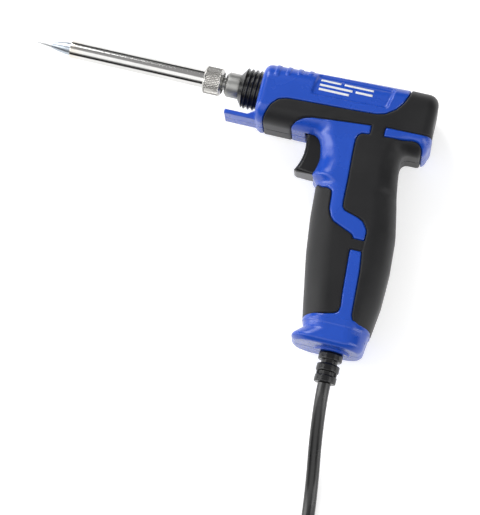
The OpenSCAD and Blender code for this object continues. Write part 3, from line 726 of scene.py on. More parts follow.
@dataclass
class HandPiece:
    """The hard housing with its grip and base, and the soft skins over it."""

    half_w: float = 17.0
    front: float = 2.0
    back: float = 84.6
    belly: float = 17.2
    top_front: float = 11.4
    top_rise: float = 2.4
    top_len: float = 70.0
    corner_r: float = 9.0
    crown: float = 0.35
    wall: float = 3.4
    skin_t: float = 1.6
    groove: float = 0.14
    sink: float = 0.12
    slot_w: float = 7.3
    collar_way: float = 7.95
    flange_way: float = 9.5
    flange_x: float = 6.9
    flange_half: float = 1.7
    slot_x: tuple[float, float] = (27.2, 46.0)
    slot_y: tuple[float, float] = (-36.6, -9.2)
    cord_way: float = 4.7
    screw_way: float = 1.7
    pilot_way: float = 1.45
    pilot_top: float = 10.7
    base_y: float = -113.2
    base_boss_r: float = 8.2
    grip: tuple[Level, ...] = (
        Level(-8, 34, 74, 16.6, 8), Level(-17.2, 33.5, 73.5, 16.6, 8),
        Level(-22, 35.6, 73.2, 16.6, 9), Level(-28, 36.7, 74, 16.6, 10),
        Level(-33, 35.8, 74.8, 16.6, 10), Level(-36.3, 34.4, 75.3, 16.6, 10),
        Level(-38.4, 37.2, 75.7, 16.6, 12), Level(-41.1, 37.8, 76.4, 16.6, 12),
        Level(-55.6, 38.8, 79.3, 16.6, 12), Level(-71.8, 40.8, 80.4, 16.6, 12),
        Level(-88, 43.8, 80.1, 16.6, 12), Level(-102.5, 46.5, 78.4, 16.4, 12))
    base: tuple[Level, ...] = (
        Level(-98, 46.0, 78.6, 16.2, 11.5), Level(-102.5, 46.9, 78, 16.2, 11),
        Level(-106.3, 47.8, 77.4, 16.5, 11), Level(-110, 43.9, 77, 16.95, 10),
        Level(-111.5, 43.4, 76.7, 16.95, 10), Level(-113.4, 45.4, 75, 15.2, 9))
    tail: tuple[Level, ...] = (
        Level(-3, 66, 84.4, 16.4, 6), Level(-9.5, 68, 85.6, 15.8, 7),
        Level(-11.8, 70, 85.1, 15, 7), Level(-14.5, 71, 82.6, 14, 7))
    band: Outline = (
        (6.2, -22), (6.2, -19), (7, -14.5), (9, -9.5), (12, -6.2), (16, -5), (22, -4.7),
        (32, -4.3), (46, -3.8), (58, -3.1), (62, -2), (66.3, 1.2), (69, 5), (70.6, 9.5),
        (71.2, 20), (95, 20), (95, -5.6), (84.6, -7.4), (81, -8.1), (63.4, -8.4),
        (63.4, -12.9), (72, -12.4), (77, -11.6), (79.4, -12), (81, -13.2), (81.8, -14.6),
        (82, -24), (95, -24), (95, -36), (82, -60), (66.6, -60), (65.9, -57.6),
        (63.4, -54.1), (60.7, -52.8), (54.2, -50.9), (52.9, -49.4), (52.6, -47), (52.2, -36),
        (51.4, -23), (51.2, -17), (51.8, -15), (53.4, -13.6), (57, -13.2), (57, -8.9),
        (39, -10.4), (29, -11.2), (25.4, -12.2), (22.6, -13.8), (20.4, -16), (19.4, -19),
        (19.2, -22))
    rear: Outline = (
        (66.2, -59), (66.2, -68), (67.4, -77), (68, -88), (68.5, -97.5), (69.6, -100.2),
        (72.4, -101.8), (78.8, -102.5), (95, -102.5), (95, -59))
    fore: Outline = (
        (30, -40.4), (39.4, -40.4), (41, -41.6), (44, -41.8), (46.2, -43), (46.6, -46),
        (47.1, -51.6), (48.6, -55.1), (50.4, -57.1), (59.8, -61.1), (60.7, -62.1),
        (60.7, -62.9), (66.4, -62.9), (66.4, -68),
        (60.6, -68), (61.2, -77), (62, -89), (62.7, -95), (62.2, -97.4), (60.8, -98.4),
        (57, -99.4), (52.4, -100.6), (46, -102.5), (30, -102.5))
    panel: Outline = ((25.4, -0.9), (62.2, 0.3), (64.2, 11.3), (27, 10.8))
    panel_depth: float = 1.25
    rib_first: float = 8.5
    rib_pitch: float = 5.1
    rib_count: int = 4
    rib_half: float = 0.95
    rib_h: float = 0.42
    tab: Outline = ((-12.3, -15.9), (-12.3, -13.8), (-1.5, -13.8), (2.6, -11), (5.8, -11),
                    (5.8, -15.9))
    tab_half: float = 7.3
    head_way: float = 3.0
    head_floor: float = 11.0
    boss_r: float = 4.2

    def __post_init__(self) -> None:
        """Samples the outlines that are seen from the side."""
        low, high = (-2.0, -116.0), (92.0, 22.0)
        self.soft = Region((self.band, self.rear, self.fore), low, high, ease=0.35)
        self.label = Region((self.panel,), low, high, ease=0.8)

    def top_at(self, x: Array) -> Array:
        """Height of the housing's top."""
        share = np.clip((x - self.front) / self.top_len, 0, 1)
        return self.top_front + self.top_rise * share

    def body_form(self, x: Array, y: Array, z: Array) -> Array:
        """The whole outer form of housing, grip, tail and base."""
        top = self.top_at(x)
        mid, half = (top - self.belly) / 2, (top + self.belly) / 2
        side = self.half_w - self.crown * ((y - mid) / half) ** 2
        housing = rounded_box(y - mid, z, half, side, self.corner_r)
        housing = both(both(housing, self.front - x, 3.5), x - self.back, 5.0)
        grip = section_distance(self.grip, x, y, z, 0.9)
        grip = both(both(grip, y + 8, 2), -103.5 - y, 0.5)
        tail = both(both(section_distance(self.tail, x, y, z, 1.2), y + 3, 2), -13.8 - y, 3.5)
        joined = blended(blended(housing, grip, 3.5), tail, 1.6)
        return both(joined, np.abs(z) - self.half_w, 0.5)

    def base_form(self, x: Array, y: Array, z: Array) -> Array:
        """The flared foot under the grip."""
        foot = section_distance(self.base, x, y, z, 0.35)
        foot = both(both(foot, self.base_y - y, 0.7), y + 100, 0.5)
        boss = np.hypot(x - CORD_X, z) - self.base_boss_r
        return blended(foot, both(boss, np.abs(y - self.base_y - 0.6) - 1.5, 0.5), 0.5)

    def tab_form(self, x: Array, y: Array, z: Array) -> Array:
        """The flat tongue in front of the belly."""
        flat = polygon_distance(*np.broadcast_arrays(x, y), self.tab)
        return both(flat, np.abs(z) - self.tab_half, 0.5)

    def hollow(self, x: Array, y: Array, outer: Array, foot: Array) -> Array:
        """The inner space with its bosses left standing."""
        space = np.minimum(outer + self.wall, foot + self.wall)
        for sx, sy in SCREW_SPOTS:
            space = np.maximum(space, self.boss_r - np.hypot(x - sx, y - sy))
        return space

    def ways(self, x: Array, y: Array, z: Array) -> Array:
        """The openings for collar, trigger and cord."""
        axis = np.hypot(y, z)
        collar = both(axis - self.collar_way, np.maximum(x - 11, -5 - x))
        flange = both(axis - self.flange_way, np.abs(x - self.flange_x) - self.flange_half)
        (front, back), (low, high) = self.slot_x, self.slot_y
        slot = both(np.maximum(front - x, x - back), np.maximum(low - y, y - high), 0.6)
        slot = both(slot, np.abs(z) - self.slot_w, 0.3)
        cord = both(np.hypot(x - CORD_X, z) - self.cord_way, np.maximum(y + 105, -125 - y))
        return np.minimum(np.minimum(collar, flange), np.minimum(slot, cord))

    def shell(self, side: Side) -> Field:
        """The field of one hard half, drawn on the positive side.

        Args:
            side: Which half it is.

        Returns:
            The field.
        """
        def form(x: Array, y: Array, z: Array) -> Array:
            outer = self.body_form(x, y, z)
            foot = self.base_form(x, y, z)
            soft = self.soft(*np.broadcast_arrays(x, y))
            hard = both(outer + self.sink, self.groove - soft, 0.75)
            index = np.clip(np.round((x - self.rib_first) / self.rib_pitch), 0,
                            self.rib_count - 1)
            across = np.abs(x - self.rib_first - index * self.rib_pitch) - self.rib_half
            rib = both(across, 4.2 + 1.6 * index - y, 0.9)
            rib = both(rib, outer + self.sink - self.rib_h, 0.4)
            hard = blended(hard, rib, 0.5)
            solid = np.minimum(hard, outer + self.skin_t + 0.06)
            solid = blended(solid, foot, 0.8)
            solid = blended(solid, self.tab_form(x, y, z), 0.6)
            label = self.label(*np.broadcast_arrays(x, y))
            depth = -(outer + self.sink)
            sunk = both(depth - self.panel_depth, (label + 0.85 * depth) / 1.31, 0.35)
            solid = cut(solid, np.maximum(sunk, 4 - z), 0.3)
            solid = cut(solid, self.hollow(x, y, outer, foot), 0.15)
            solid = cut(solid, self.ways(x, y, z), 0.45)
            for sx, sy in SCREW_SPOTS:
                off = np.hypot(x - sx, y - sy)
                if side is Side.RIGHT:
                    solid = cut(solid, both(off - self.head_way, self.head_floor - z), 0.3)
                    solid = cut(solid, off - self.screw_way, 0.1)
                else:
                    solid = cut(solid, both(off - self.pilot_way, z - self.pilot_top), 0.1)
            return both(solid, 0.02 - z, 0.12)
        return form

    def skin(self, side: Side) -> Field:
        """The field of one soft skin, drawn on the positive side."""
        def form(x: Array, y: Array, z: Array) -> Array:
            outer = self.body_form(x, y, z)
            soft = self.soft(*np.broadcast_arrays(x, y))
            pad = both(outer, soft + self.groove, 0.8)
            pad = cut(pad, outer + self.skin_t, 0.1)
            if side is Side.RIGHT:
                for sx, sy in SCREW_SPOTS:
                    pad = cut(pad, np.hypot(x - sx, y - sy) - self.head_way, 0.3)
            return both(pad, 0.02 - z, 0.12)
        return form

    def build(self, finishes: Finishes) -> list[bpy.types.Object]:
        """Makes both hard halves and both skins.

        Args:
            finishes: The materials.

        Returns:
            The pieces.
        """
        made = []
        for side in Side:
            name = side.name.lower()
            hard = sculpt(f"shell_{name}", self.shell(side), (-13.8, -115.2, -1.2),
                          (87.2, 15.6, 18.6), 0.46, 190000, side is Side.RIGHT)
            dress(hard, finishes.blue, Body.HOUSING, "blue_shell", f"housing_{name}")
            pad = sculpt(f"skin_{name}", self.skin(side), (4.4, -104.4, -1.2),
                         (87.2, 15.6, 18.6), 0.46, 150000, side is Side.RIGHT)
            dress(pad, finishes.rubber, Body.HOUSING, "soft_skin", f"grip_skin_{name}")
            made += [hard, pad]
        return made


# ---------------------------------------------------------------- turned pieces

def filleted(profile: Outline, r: float, closed: bool, steps: int = 4) -> Array:
    """Rounds the corners of a line.

    Args:
        profile: Its points.
        r: Radius of the rounding.
        closed: Whether the line is a loop.
        steps: How many parts each corner is made of.

    Returns:
        The points of the rounded line.
    """
    points = np.asarray(profile, float)
    last = len(points) - 1
    line = []
    for i, p in enumerate(points):
        before, after = points[i - 1] - p, points[(i + 1) % (last + 1)] - p
        lengths = np.hypot(*before), np.hypot(*after)
        if not closed and i in (0, last) or min(lengths) < 1e-6:
            line.append(p)
            continue
        before, after = before / lengths[0], after / lengths[1]
        half = math.acos(float(np.clip(before @ after, -1, 1))) / 2
        reach = min(r / math.tan(half) if half < 1.5 else 0.0, 0.45 * lengths[0],
                    0.45 * lengths[1])
        if reach < 1e-4:
            line.append(p)
            continue
        for t in np.linspace(0, 1, steps + 1):
            line.append(p + before * reach * (1 - t) ** 2 + after * reach * t ** 2)
    return np.array(line)


def divided(line: Array, longest: float) -> Array:
    """Adds points to a line until no part is longer than a length."""
    points = [line[0]]
    for a, b in zip(line[:-1], line[1:]):
        parts = max(1, math.ceil(np.hypot(*(b - a)) / longest))
        points += [a + (b - a) * (i + 1) / parts for i in range(parts)]
    return np.array(points)


def turned(name: str, profile: Outline, r: float = 0.25, closed: bool = True,
           steps: int = 128, longest: float = 8.0,
           axis: tuple[float, float] = (0.0, 0.0)) -> bpy.types.Object:
    """Turns a profile about a line along x.

    Args:
        name: Name of the piece.
        profile: Place along the line and radius of each point. An open profile starts
            and ends on the line.
        r: Rounding of the profile's corners.
        closed: Whether the profile is a loop, as a pipe's wall is.
        steps: How many parts go round.
        longest: Longest part of the profile.
        axis: Height and depth of the line.

    Returns:
        The piece.
    """
    line = filleted(profile, r, closed)
    if longest < 8.0:
        line = divided(np.vstack([line, line[:1]]) if closed else line, longest)
        line = line[:-1] if closed else line
    turn = np.arange(steps) * 2 * math.pi / steps
    points, faces = [], []
    rings = line if closed else line[1:-1]
    for x, radius in rings:
        points += [(x, axis[0] + radius * math.cos(a), axis[1] + radius * math.sin(a))
                   for a in turn]
    count = len(rings)
    for i in range(count if closed else count - 1):
        a, b = i * steps, (i + 1) % count * steps
        faces += [(a + k, b + k, b + (k + 1) % steps, a + (k + 1) % steps)
                  for k in range(steps)]
    if not closed:
        for x, ring, turn_over in ((line[0][0], 0, False), (line[-1][0], count - 1, True)):
            pole, start = len(points), ring * steps
            points.append((x, *axis))
            for k in range(steps):
                face = (pole, start + k, start + (k + 1) % steps)
                faces.append(face[::-1] if turn_over else face)
    points = np.array(points)
    a, b, c = (points[[face[i] for face in faces]] for i in (0, 1, 2))
    volume = np.einsum("ij,ij->", a - points[0], np.cross(b - points[0], c - points[0]))
    if volume < 0:
        faces = [face[::-1] for face in faces]
    return new_object(name, points, faces)


# ---------------------------------------------------------------- geometry trees

def socket_id(tree: bpy.types.NodeTree, label: str) -> str:
    """Identifier of a tree's input with a given label."""
    return next(item.identifier for item in tree.interface.items_tree
                if item.item_type == "SOCKET" and item.in_out == "INPUT"
                and item.name == label)


def run_tree(piece: bpy.types.Object, tree: bpy.types.NodeTree, **inputs: Value) -> None:
    """Runs a geometry tree on a piece and keeps what it makes as a plain mesh.

    Args:
        piece: The piece.
        tree: The tree.
        inputs: A value for each named input, with _ in place of a space.
    """
    modifier = piece.modifiers.new(tree.name, "NODES")
    modifier.node_group = tree
    for label, value in inputs.items():
        modifier[socket_id(tree, label.replace("_", " "))] = value
    apply_modifiers(piece)
    piece.data.shade_smooth()


def start_tree(name: str, takes: dict[str, tuple]) -> tuple:
    """Starts a geometry tree that takes a mesh, a material and further inputs."""
    return start_group(name, "GeometryNodeTree",
                       {"Geometry": (GEOMETRY, None), "Material": ("NodeSocketMaterial", None),
                        **takes}, {"Geometry": GEOMETRY})


def end_tree(net: Net, given: bpy.types.Node, out: bpy.types.Node,
             made: bpy.types.Node) -> bpy.types.NodeTree:
    """Ends a geometry tree: what its last node makes becomes one mesh of one material."""
    real = net.add("GeometryNodeRealizeInstances", {0: made.outputs[0]})
    done = net.add("GeometryNodeSetMaterial", {"Geometry": real.outputs[0],
                                               "Material": given.outputs["Material"]})
    net.tree.links.new(done.outputs[0], out.inputs["Geometry"])
    return net.tree


def wave_tree() -> bpy.types.NodeTree:
    """A pattern of ridges cut round a line along x, in metres."""
    net, given, out = start_tree(
        "ridges_round_axis",
        {"Axis": (VECTOR, None), "Count": (FLOAT, 60.0), "Lead": (FLOAT, 0.0),
         "Depth": (FLOAT, 0.0002), "Start": (FLOAT, 0.0), "End": (FLOAT, 0.01),
         "Least Radius": (FLOAT, 0.0), "Width": (FLOAT, 0.5)})
    place = net.add("GeometryNodeInputPosition").outputs[0]
    off = net.add("ShaderNodeVectorMath", {0: place, 1: given.outputs["Axis"]},
                  operation="SUBTRACT").outputs[0]
    parts = net.add("ShaderNodeSeparateXYZ", {0: off}).outputs
    round_place = net.math("ARCTAN2", parts["Z"], parts["Y"])
    radius = net.math("SQRT", net.math("ADD", net.math("MULTIPLY", parts["Y"], parts["Y"]),
                                       net.math("MULTIPLY", parts["Z"], parts["Z"])))
    turn = net.math("DIVIDE", round_place, 2 * math.pi)
    phase = net.math("MULTIPLY_ADD", turn, given.outputs["Count"],
                     net.math("MULTIPLY", parts["X"], given.outputs["Lead"]))
    part = net.math("FRACT", phase)
    mid = net.math("ABSOLUTE", net.math("MULTIPLY_ADD", part, 2.0, -1.0))
    low = net.math("SUBTRACT", given.outputs["Width"], 0.2)
    high = net.math("ADD", given.outputs["Width"], 0.2)
    step = net.add("ShaderNodeMapRange", {0: mid, 1: low, 2: high, 3: 0.0, 4: 1.0},
                   interpolation_type="SMOOTHSTEP").outputs[0]
    start_fade = net.math("SUBTRACT", parts["X"], given.outputs["Start"])
    end_fade = net.math("SUBTRACT", given.outputs["End"], parts["X"])
    near_end = net.math("MINIMUM", start_fade, end_fade)
    inside = net.spread(near_end, 0.0, 0.0003, 0.0, 1.0)
    outside = net.math("GREATER_THAN", radius, given.outputs["Least Radius"])
    depth = net.math("MULTIPLY", net.math("MULTIPLY", step, inside),
                     net.math("MULTIPLY", outside, given.outputs["Depth"]))
    sink = net.math("DIVIDE", net.math("MULTIPLY", depth, -1.0),
                    net.math("MAXIMUM", radius, 1e-6))
    flat = net.add("ShaderNodeVectorMath", {0: off, 1: (0.0, 1.0, 1.0)},
                   operation="MULTIPLY").outputs[0]
    push = net.add("ShaderNodeVectorMath", {0: flat, "Scale": sink},
                   operation="SCALE").outputs[0]
    moved = net.add("GeometryNodeSetPosition", {"Geometry": given.outputs["Geometry"],
                                                "Offset": push})
    return end_tree(net, given, out, moved)


def places_tree() -> bpy.types.NodeTree:
    """Puts one piece at every point of another."""
    net, given, out = start_tree(
        "pieces_at_points", {"Piece": ("NodeSocketObject", None), "Turn": (FLOAT, 0.0),
                             "Seed": ("NodeSocketInt", 3)})
    info = net.add("GeometryNodeObjectInfo", {"Object": given.outputs["Piece"]})
    spin = net.add("FunctionNodeRandomValue", {2: 0.0, 3: given.outputs["Turn"],
                                               "Seed": given.outputs["Seed"]},
                   data_type="FLOAT")
    turn = net.add("ShaderNodeCombineXYZ", {2: spin.outputs[1]})
    placed = net.add("GeometryNodeInstanceOnPoints",
                     {"Points": given.outputs["Geometry"],
                      "Instance": info.outputs["Geometry"]})
    turned_round = net.add("GeometryNodeRotateInstances",
                           {"Instances": placed.outputs[0], "Rotation": turn.outputs[0]})
    return end_tree(net, given, out, turned_round)


def spring_tree() -> bpy.types.NodeTree:
    """A round wire swept along a line, in metres."""
    net, given, out = start_tree("wire_along_line", {"Wire Radius": (FLOAT, 0.00035)})
    line = net.add("GeometryNodeMeshToCurve", {0: given.outputs["Geometry"]})
    ring = net.add("GeometryNodeCurvePrimitiveCircle",
                   {"Resolution": 12, "Radius": given.outputs["Wire Radius"]})
    swept = net.add("GeometryNodeCurveToMesh", {0: line.outputs[0], 1: ring.outputs["Curve"],
                                                "Fill Caps": True})
    return end_tree(net, given, out, swept)


class Trees:
    """The geometry trees that the pieces share."""

    def __init__(self) -> None:
        """Builds each tree once."""
        self.waves = wave_tree()
        self.places = places_tree()
        self.wire = spring_tree()


# ---------------------------------------------------------------- barrel

@dataclass
class Barrel:
    """Soldering tip, sleeve, knurled nut, ferrule and ridged collar."""

    tip_front: float = -109.0
    sleeve_front: float = -91.5
    sleeve_back: float = -23.8
    sleeve_r: float = 4.25
    sleeve_bore: float = 3.65
    tip_r: float = 3.1
    nut_front: float = -26.0
    nut_back: float = -17.0
    nut_r: float = 6.5
    knurl_count: float = 34.0
    knurl_lead: float = 340.0
    knurl_depth: float = 0.5
    ferrule_front: float = -15.5
    ferrule_back: float = 20.0
    ferrule_r: float = 5.85
    collar_front: float = -8.7
    collar_back: float = 1.7
    collar_r: float = 9.6
    ridge_pitch: float = 2.1
    ridge_depth: float = 0.85

    def make_tip(self, finishes: Finishes) -> None:
        """The plated bit with its bright cone."""
        length = self.sleeve_front - self.tip_front
        cone = self.tip_front + 0.42 * length
        piece = turned("tip_bit", (
            (self.tip_front, 0), (self.tip_front + 0.12, 0.3), (cone, self.tip_r * 0.47),
            (self.tip_front + 0.66 * length, self.tip_r * 0.76),
            (self.tip_front + 0.86 * length, self.tip_r * 0.94),
            (self.sleeve_front, self.tip_r), (self.sleeve_front + 1.2, self.tip_r + 0.3),
            (self.sleeve_front + 3, 3.55), (self.sleeve_front + 24, 3.55),
            (self.sleeve_front + 24, 2.2), (self.sleeve_front + 9, 2.2),
            (self.sleeve_front + 9, 0)), r=1.4, closed=False, longest=0.8)
        dress(piece, finishes.plating, Body.BARREL, "tip_plating", "soldering_tip")

    def make_sleeve(self, finishes: Finishes) -> None:
        """The steel tube that holds the bit."""
        piece = turned("sleeve_tube", (
            (self.sleeve_front, self.sleeve_bore + 0.1), (self.sleeve_front, self.sleeve_r),
            (self.nut_front + 0.1, self.sleeve_r), (self.nut_front + 0.2, self.sleeve_r - 0.2),
            (self.sleeve_back - 0.95, self.sleeve_r - 0.2), (self.sleeve_back - 0.95, 4.65),
            (self.sleeve_back, 4.65), (self.sleeve_back, self.sleeve_bore),
            (self.sleeve_front + 1, self.sleeve_bore)), r=0.22, longest=2.0)
        dress(piece, finishes.steel, Body.BARREL, "polished_steel", "barrel_sleeve")

    def make_nut(self, finishes: Finishes, trees: Trees) -> None:
        """The nut with its slanted knurl between plain bands."""
        f, b, r = self.nut_front, self.nut_back, self.nut_r
        piece = turned("knurled_nut", (
            (f, self.sleeve_r + 0.1), (f, r - 0.7), (f + 0.7, r - 0.02),
            (b - 0.9, r - 0.02), (b, r - 1.3), (b, 5.1), (f + 1.2, 5.1),
            (f + 1.2, self.sleeve_r + 0.1)), r=0.3, steps=476, longest=0.2)
        run_tree(piece, trees.waves, Material=finishes.nickel, Axis=(0.0, 0.0, 0.0),
                 Count=self.knurl_count, Lead=self.knurl_lead,
                 Depth=self.knurl_depth * MM, Start=(f + 0.85 + REFERENCE_X) * MM,
                 End=(b - 1.05 + REFERENCE_X) * MM, Least_Radius=(r - 0.8) * MM, Width=0.45)
        dress(piece, finishes.nickel, Body.NUT, "nickel", "union_nut")

    def make_ferrule(self, finishes: Finishes) -> None:
        """The ferrule between nut and collar, with its turned neck."""
        f, r = self.ferrule_front, self.ferrule_r
        piece = turned("ferrule_tube", (
            (-23.4, 2.15), (-23.4, 4.95), (-18.1, 4.95), (-17.9, 3.05), (f, 3.05),
            (f, r - 1.15), (f + 1.15, r), (-9.0, r), (-8.9, r - 0.12), (self.ferrule_back, r - 0.1),
            (self.ferrule_back, 4.65), (-8, 4.65), (-8, 2.15)), r=0.25, longest=2.0)
        dress(piece, finishes.satin, Body.HOUSING, "nickel", "ferrule")

    def make_collar(self, finishes: Finishes, trees: Trees) -> None:
        """The black collar with its ridges, which climb a little as they go round."""
        r, front = self.collar_r, self.collar_front
        piece = turned("ridged_collar", (
            (front, self.ferrule_r + 0.05), (front, self.ferrule_r + 0.35),
            (front + 1.7, r - 1.1), (front + 2.3, r - 0.05), (self.collar_back, r - 0.05),
            (self.collar_back, 7.6), (5.45, 7.6), (5.45, 9.2), (8.35, 9.2), (8.35, 5.95),
            (front + 1, 5.9)), r=0.35, steps=256, longest=0.16)
        run_tree(piece, trees.waves, Material=finishes.black, Axis=(0.0, 0.0, 0.0),
                 Count=1.0, Lead=1000 / self.ridge_pitch, Depth=self.ridge_depth * MM,
                 Start=(front + 2.2 + REFERENCE_X) * MM, End=(self.collar_back + REFERENCE_X) * MM,
                 Least_Radius=(r - 1.4) * MM, Width=0.42)
        dress(piece, finishes.black, Body.HOUSING, "black_plastic", "front_collar")

    def build(self, finishes: Finishes, trees: Trees) -> None:
        """Makes every piece on the barrel's axis."""
        self.make_tip(finishes)
        self.make_sleeve(finishes)
        self.make_nut(finishes, trees)
        self.make_ferrule(finishes)
        self.make_collar(finishes, trees)


# ---------------------------------------------------------------- trigger

@dataclass
class ReturnSpring:
    """The coil spring that pushes the trigger back."""

    y: float = -32.5
    front: float = 40.65
    back: float = 46.25
    coil_r: float = 2.4
    wire_r: float = 0.35
    turns: int = 6
    pressed: float = 0.42

    def build(self, finishes: Finishes, trees: Trees) -> None:
        """Makes the coil, with flat end turns."""
        steps = 28
        share = np.arange(self.turns * steps + 1) / (self.turns * steps)
        along = np.clip((share * self.turns - 0.8) / (self.turns - 1.6), 0, 1)
        edge = 0.7 * np.clip(share * self.turns, 0, 0.8)
        far_edge = 0.7 * np.clip((1 - share) * self.turns, 0, 0.8)
        span = self.back - self.front - 1.12
        x = self.front + edge + along * span + (0.56 - far_edge)
        turn = 2 * math.pi * self.turns * share
        points = np.stack([x, self.y + self.coil_r * np.cos(turn),
                           self.coil_r * np.sin(turn)], axis=1)
        edges = [(i, i + 1) for i in range(len(points) - 1)]
        piece = new_object("return_spring", points, [], edges)
        run_tree(piece, trees.wire, Material=finishes.spring, Wire_Radius=self.wire_r * MM)
        dress(piece, finishes.spring, Body.HOUSING, "spring_steel", "trigger_spring")
        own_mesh(piece)


@dataclass
class Trigger:
    """The finger trigger, rounded where the finger lies."""

    outline: Outline = (
        (28.6, -13.6), (30.5, -9), (34, -6.7), (37, -8), (38.2, -11), (40, -15),
        (40.2, -19.8), (44.2, -19.9), (44.2, -23.1), (40.2, -23.2), (40, -34.4),
        (39, -35.4), (27.2, -35.4), (25.9, -34.7), (27, -32.4), (28, -29.6),
        (28.6, -26.6), (28.7, -23.4), (28.4, -20), (27.8, -17))
    half_w: float = 7.0
    pivot: tuple[float, float] = (34.0, -10.2)
    pivot_r: float = 1.36

    def form(self, x: Array, y: Array, z: Array) -> Array:
        """Its field: sides rounded more at the front, with a hollow for the finger."""
        flat = polygon_distance(*np.broadcast_arrays(x, y), self.outline)
        ease = 1.3 + 1.2 * np.clip((33 - x) / 6, 0, 1)
        shape = both(flat, np.abs(z) - self.half_w, ease)
        hole = np.hypot(x - self.pivot[0], y - self.pivot[1]) - self.pivot_r
        return cut(shape, hole, 0.15)

    def build(self, finishes: Finishes) -> None:
        """Makes the trigger."""
        piece = sculpt("finger_trigger", self.form, (24.9, -36.4, -8.2), (45.2, -5.4, 8.2),
                       0.25, 60000)
        dress(piece, finishes.black, Body.TRIGGER, "black_plastic", "trigger")


# ---------------------------------------------------------------- cord and plug

@dataclass
class MainsCord:
    """Strain relief, cord, stored coil, tie and plug.

    The cord leaves the strain relief, comes down
    to the table beside the tool's bottom end and runs on into two layers of turns.
    """

    x: float = CORD_X
    exit_y: float = -128.2
    d: float = 6.0
    centre: tuple[float, float] = (113.0, -230.0)
    layers: tuple[float, float] = (-14.0, -8.0)
    turns: tuple[float, ...] = (42.0, 36.0, 30.0)
    lead: tuple[Point, ...] = (
        (63, -128.2, 0), (63.2, -134, -0.6), (63.8, -142, -2.4), (64.6, -150, -5),
        (65.6, -158, -8), (66.8, -166, -10.8), (67.9, -174, -13), (69, -183, -14),
        (70, -193, -14), (70.7, -205, -14), (71, -217, -14))
    tail: tuple[Point, ...] = (
        (70.6, -238, -7.4), (68.6, -246, -6), (64.4, -253, -4), (58.4, -258, -1.8),
        (52, -260, 0), (46, -260, 1.2), (40, -260, 1.5))
    relief_r: float = 5.6
    relief_neck: float = 4.4
    relief_top: float = -107.65
    ring_len: float = 3.4
    ring_pitch: float = 5.2
    rings: int = 3
    core_y: float = -117.9
    core_half: float = 10.3
    flange_r: float = 6.6
    bridge_half: float = 1.9
    plug_y: float = -260.0
    plug_z: float = 1.5
    plug_back: float = 40.0
    plug_r: float = 18.5
    plug_face: float = -16.0
    pin_pitch: float = 19.0
    pin_r: float = 2.4
    pin_len: float = 19.0
    strap_half: float = 2.5
    flutes: int = 24
    flute_depth: float = 0.28

    def coil_points(self) -> list[Point]:
        """Centreline of the stored turns, twelve points to a turn."""
        outer, middle, inner = self.turns
        low, high = self.layers
        whole = 5 * 360
        places = []
        for angle in range(0, whole + 1, 15):
            turn, part = divmod(angle, 360)
            steps = {0: (outer, middle, 240, 310), 1: (middle, inner, 240, 310),
                     2: (inner, inner, 0, 1), 3: (inner, middle, 50, 120),
                     4: (middle, outer, 50, 120), 5: (outer, outer, 0, 1)}
            start, end, first, last = steps[turn]
            share = np.clip((part - first) / (last - first), 0, 1)
            r = start + (end - start) * share * share * (3 - 2 * share)
            climb = np.clip((angle - 870) / 80, 0, 1)
            z = low + (high - low) * climb * climb * (3 - 2 * climb)
            a = math.radians(180 + angle)
            places.append((self.centre[0] + r * math.cos(a), self.centre[1] + r * math.sin(a),
                           z))
        return places

    def line(self) -> Array:
        """The cord's whole centreline, finely divided."""
        knots = np.array([*self.lead, *self.coil_points(), *self.tail])
        padded = np.vstack([2 * knots[0] - knots[1], knots, 2 * knots[-1] - knots[-2]])
        fine = []
        for a, b, c, d in zip(padded, padded[1:], padded[2:], padded[3:]):
            for t in np.arange(0, 1, 0.2):
                fine.append(0.5 * (2 * b + (c - a) * t + (2 * a - 5 * b + 4 * c - d) * t ** 2
                                   + (3 * b - a - 3 * c + d) * t ** 3))
        return np.array([*fine, knots[-1]])

    def make_cord(self, finishes: Finishes) -> bpy.types.Object:
        """The cord as one round curve, with its turns in the coil."""
        line = self.line()
        data = bpy.data.curves.new("mains_cord", "CURVE")
        data.dimensions = "3D"
        spline = data.splines.new("POLY")
        spline.points.add(len(line) - 1)
        rows = np.hstack([to_world(line), np.ones((len(line), 1))])
        spline.points.foreach_set("co", rows.ravel())
        spline.use_smooth = True
        data.bevel_depth = self.d / 2 * MM
        data.bevel_resolution = 6
        data.use_fill_caps = True
        piece = place_object("mains_cord", data)
        dress(piece, finishes.cord, Body.HOUSING, "black_cord", "cord", "cord_coil")
        return piece

    def relief_form(self, x: Array, y: Array, z: Array) -> Array:
        """Field of the strain relief: three rings joined by bridges in turn."""
        off = np.hypot(x - self.x, z)
        core = both(off - self.relief_neck + 0.55, np.abs(y - self.core_y) - self.core_half,
                    0.3)
        flange = both(off - self.flange_r, np.abs(y - self.relief_top + 1) - 1, 0.3)
        solid = np.minimum(core, flange)
        for i in range(self.rings):
            middle = self.exit_y + self.ring_len / 2 + i * self.ring_pitch
            taper = self.relief_r - 0.25 * (self.rings - 1 - i)
            ring = both(off - taper, np.abs(y - middle) - self.ring_len / 2, 0.55)
            solid = blended(solid, ring, 0.2)
            u = x - self.x if i % 2 else z
            gap = np.abs(y - middle - self.ring_pitch / 2) - 1.6
            bridge = both(np.abs(u) - self.bridge_half, gap, 0.2)
            solid = blended(solid, both(bridge, off - taper + 0.3, 0.4), 0.3)
        return cut(solid, off - self.d / 2 - 0.05, 0.25)

    def tie_form(self, x: Array, y: Array, z: Array) -> Array:
        """Field of the flat strap round the coil."""
        u, v = x - self.centre[0], y - self.centre[1] - self.turns[1]
        low, high = self.layers[0] - self.d / 2, self.layers[1] + self.d / 2
        mid, half = (low + high) / 2, (high - low) / 2
        outer = rounded_box(v, z - mid - 0.65, 10.3, half + 0.6, 2.2)
        inner = rounded_box(v, z - mid + 1, 9.25, half + 1.15, 1.6)
        return both(cut(outer, inner, 0.2), np.abs(u) - self.strap_half, 0.3)

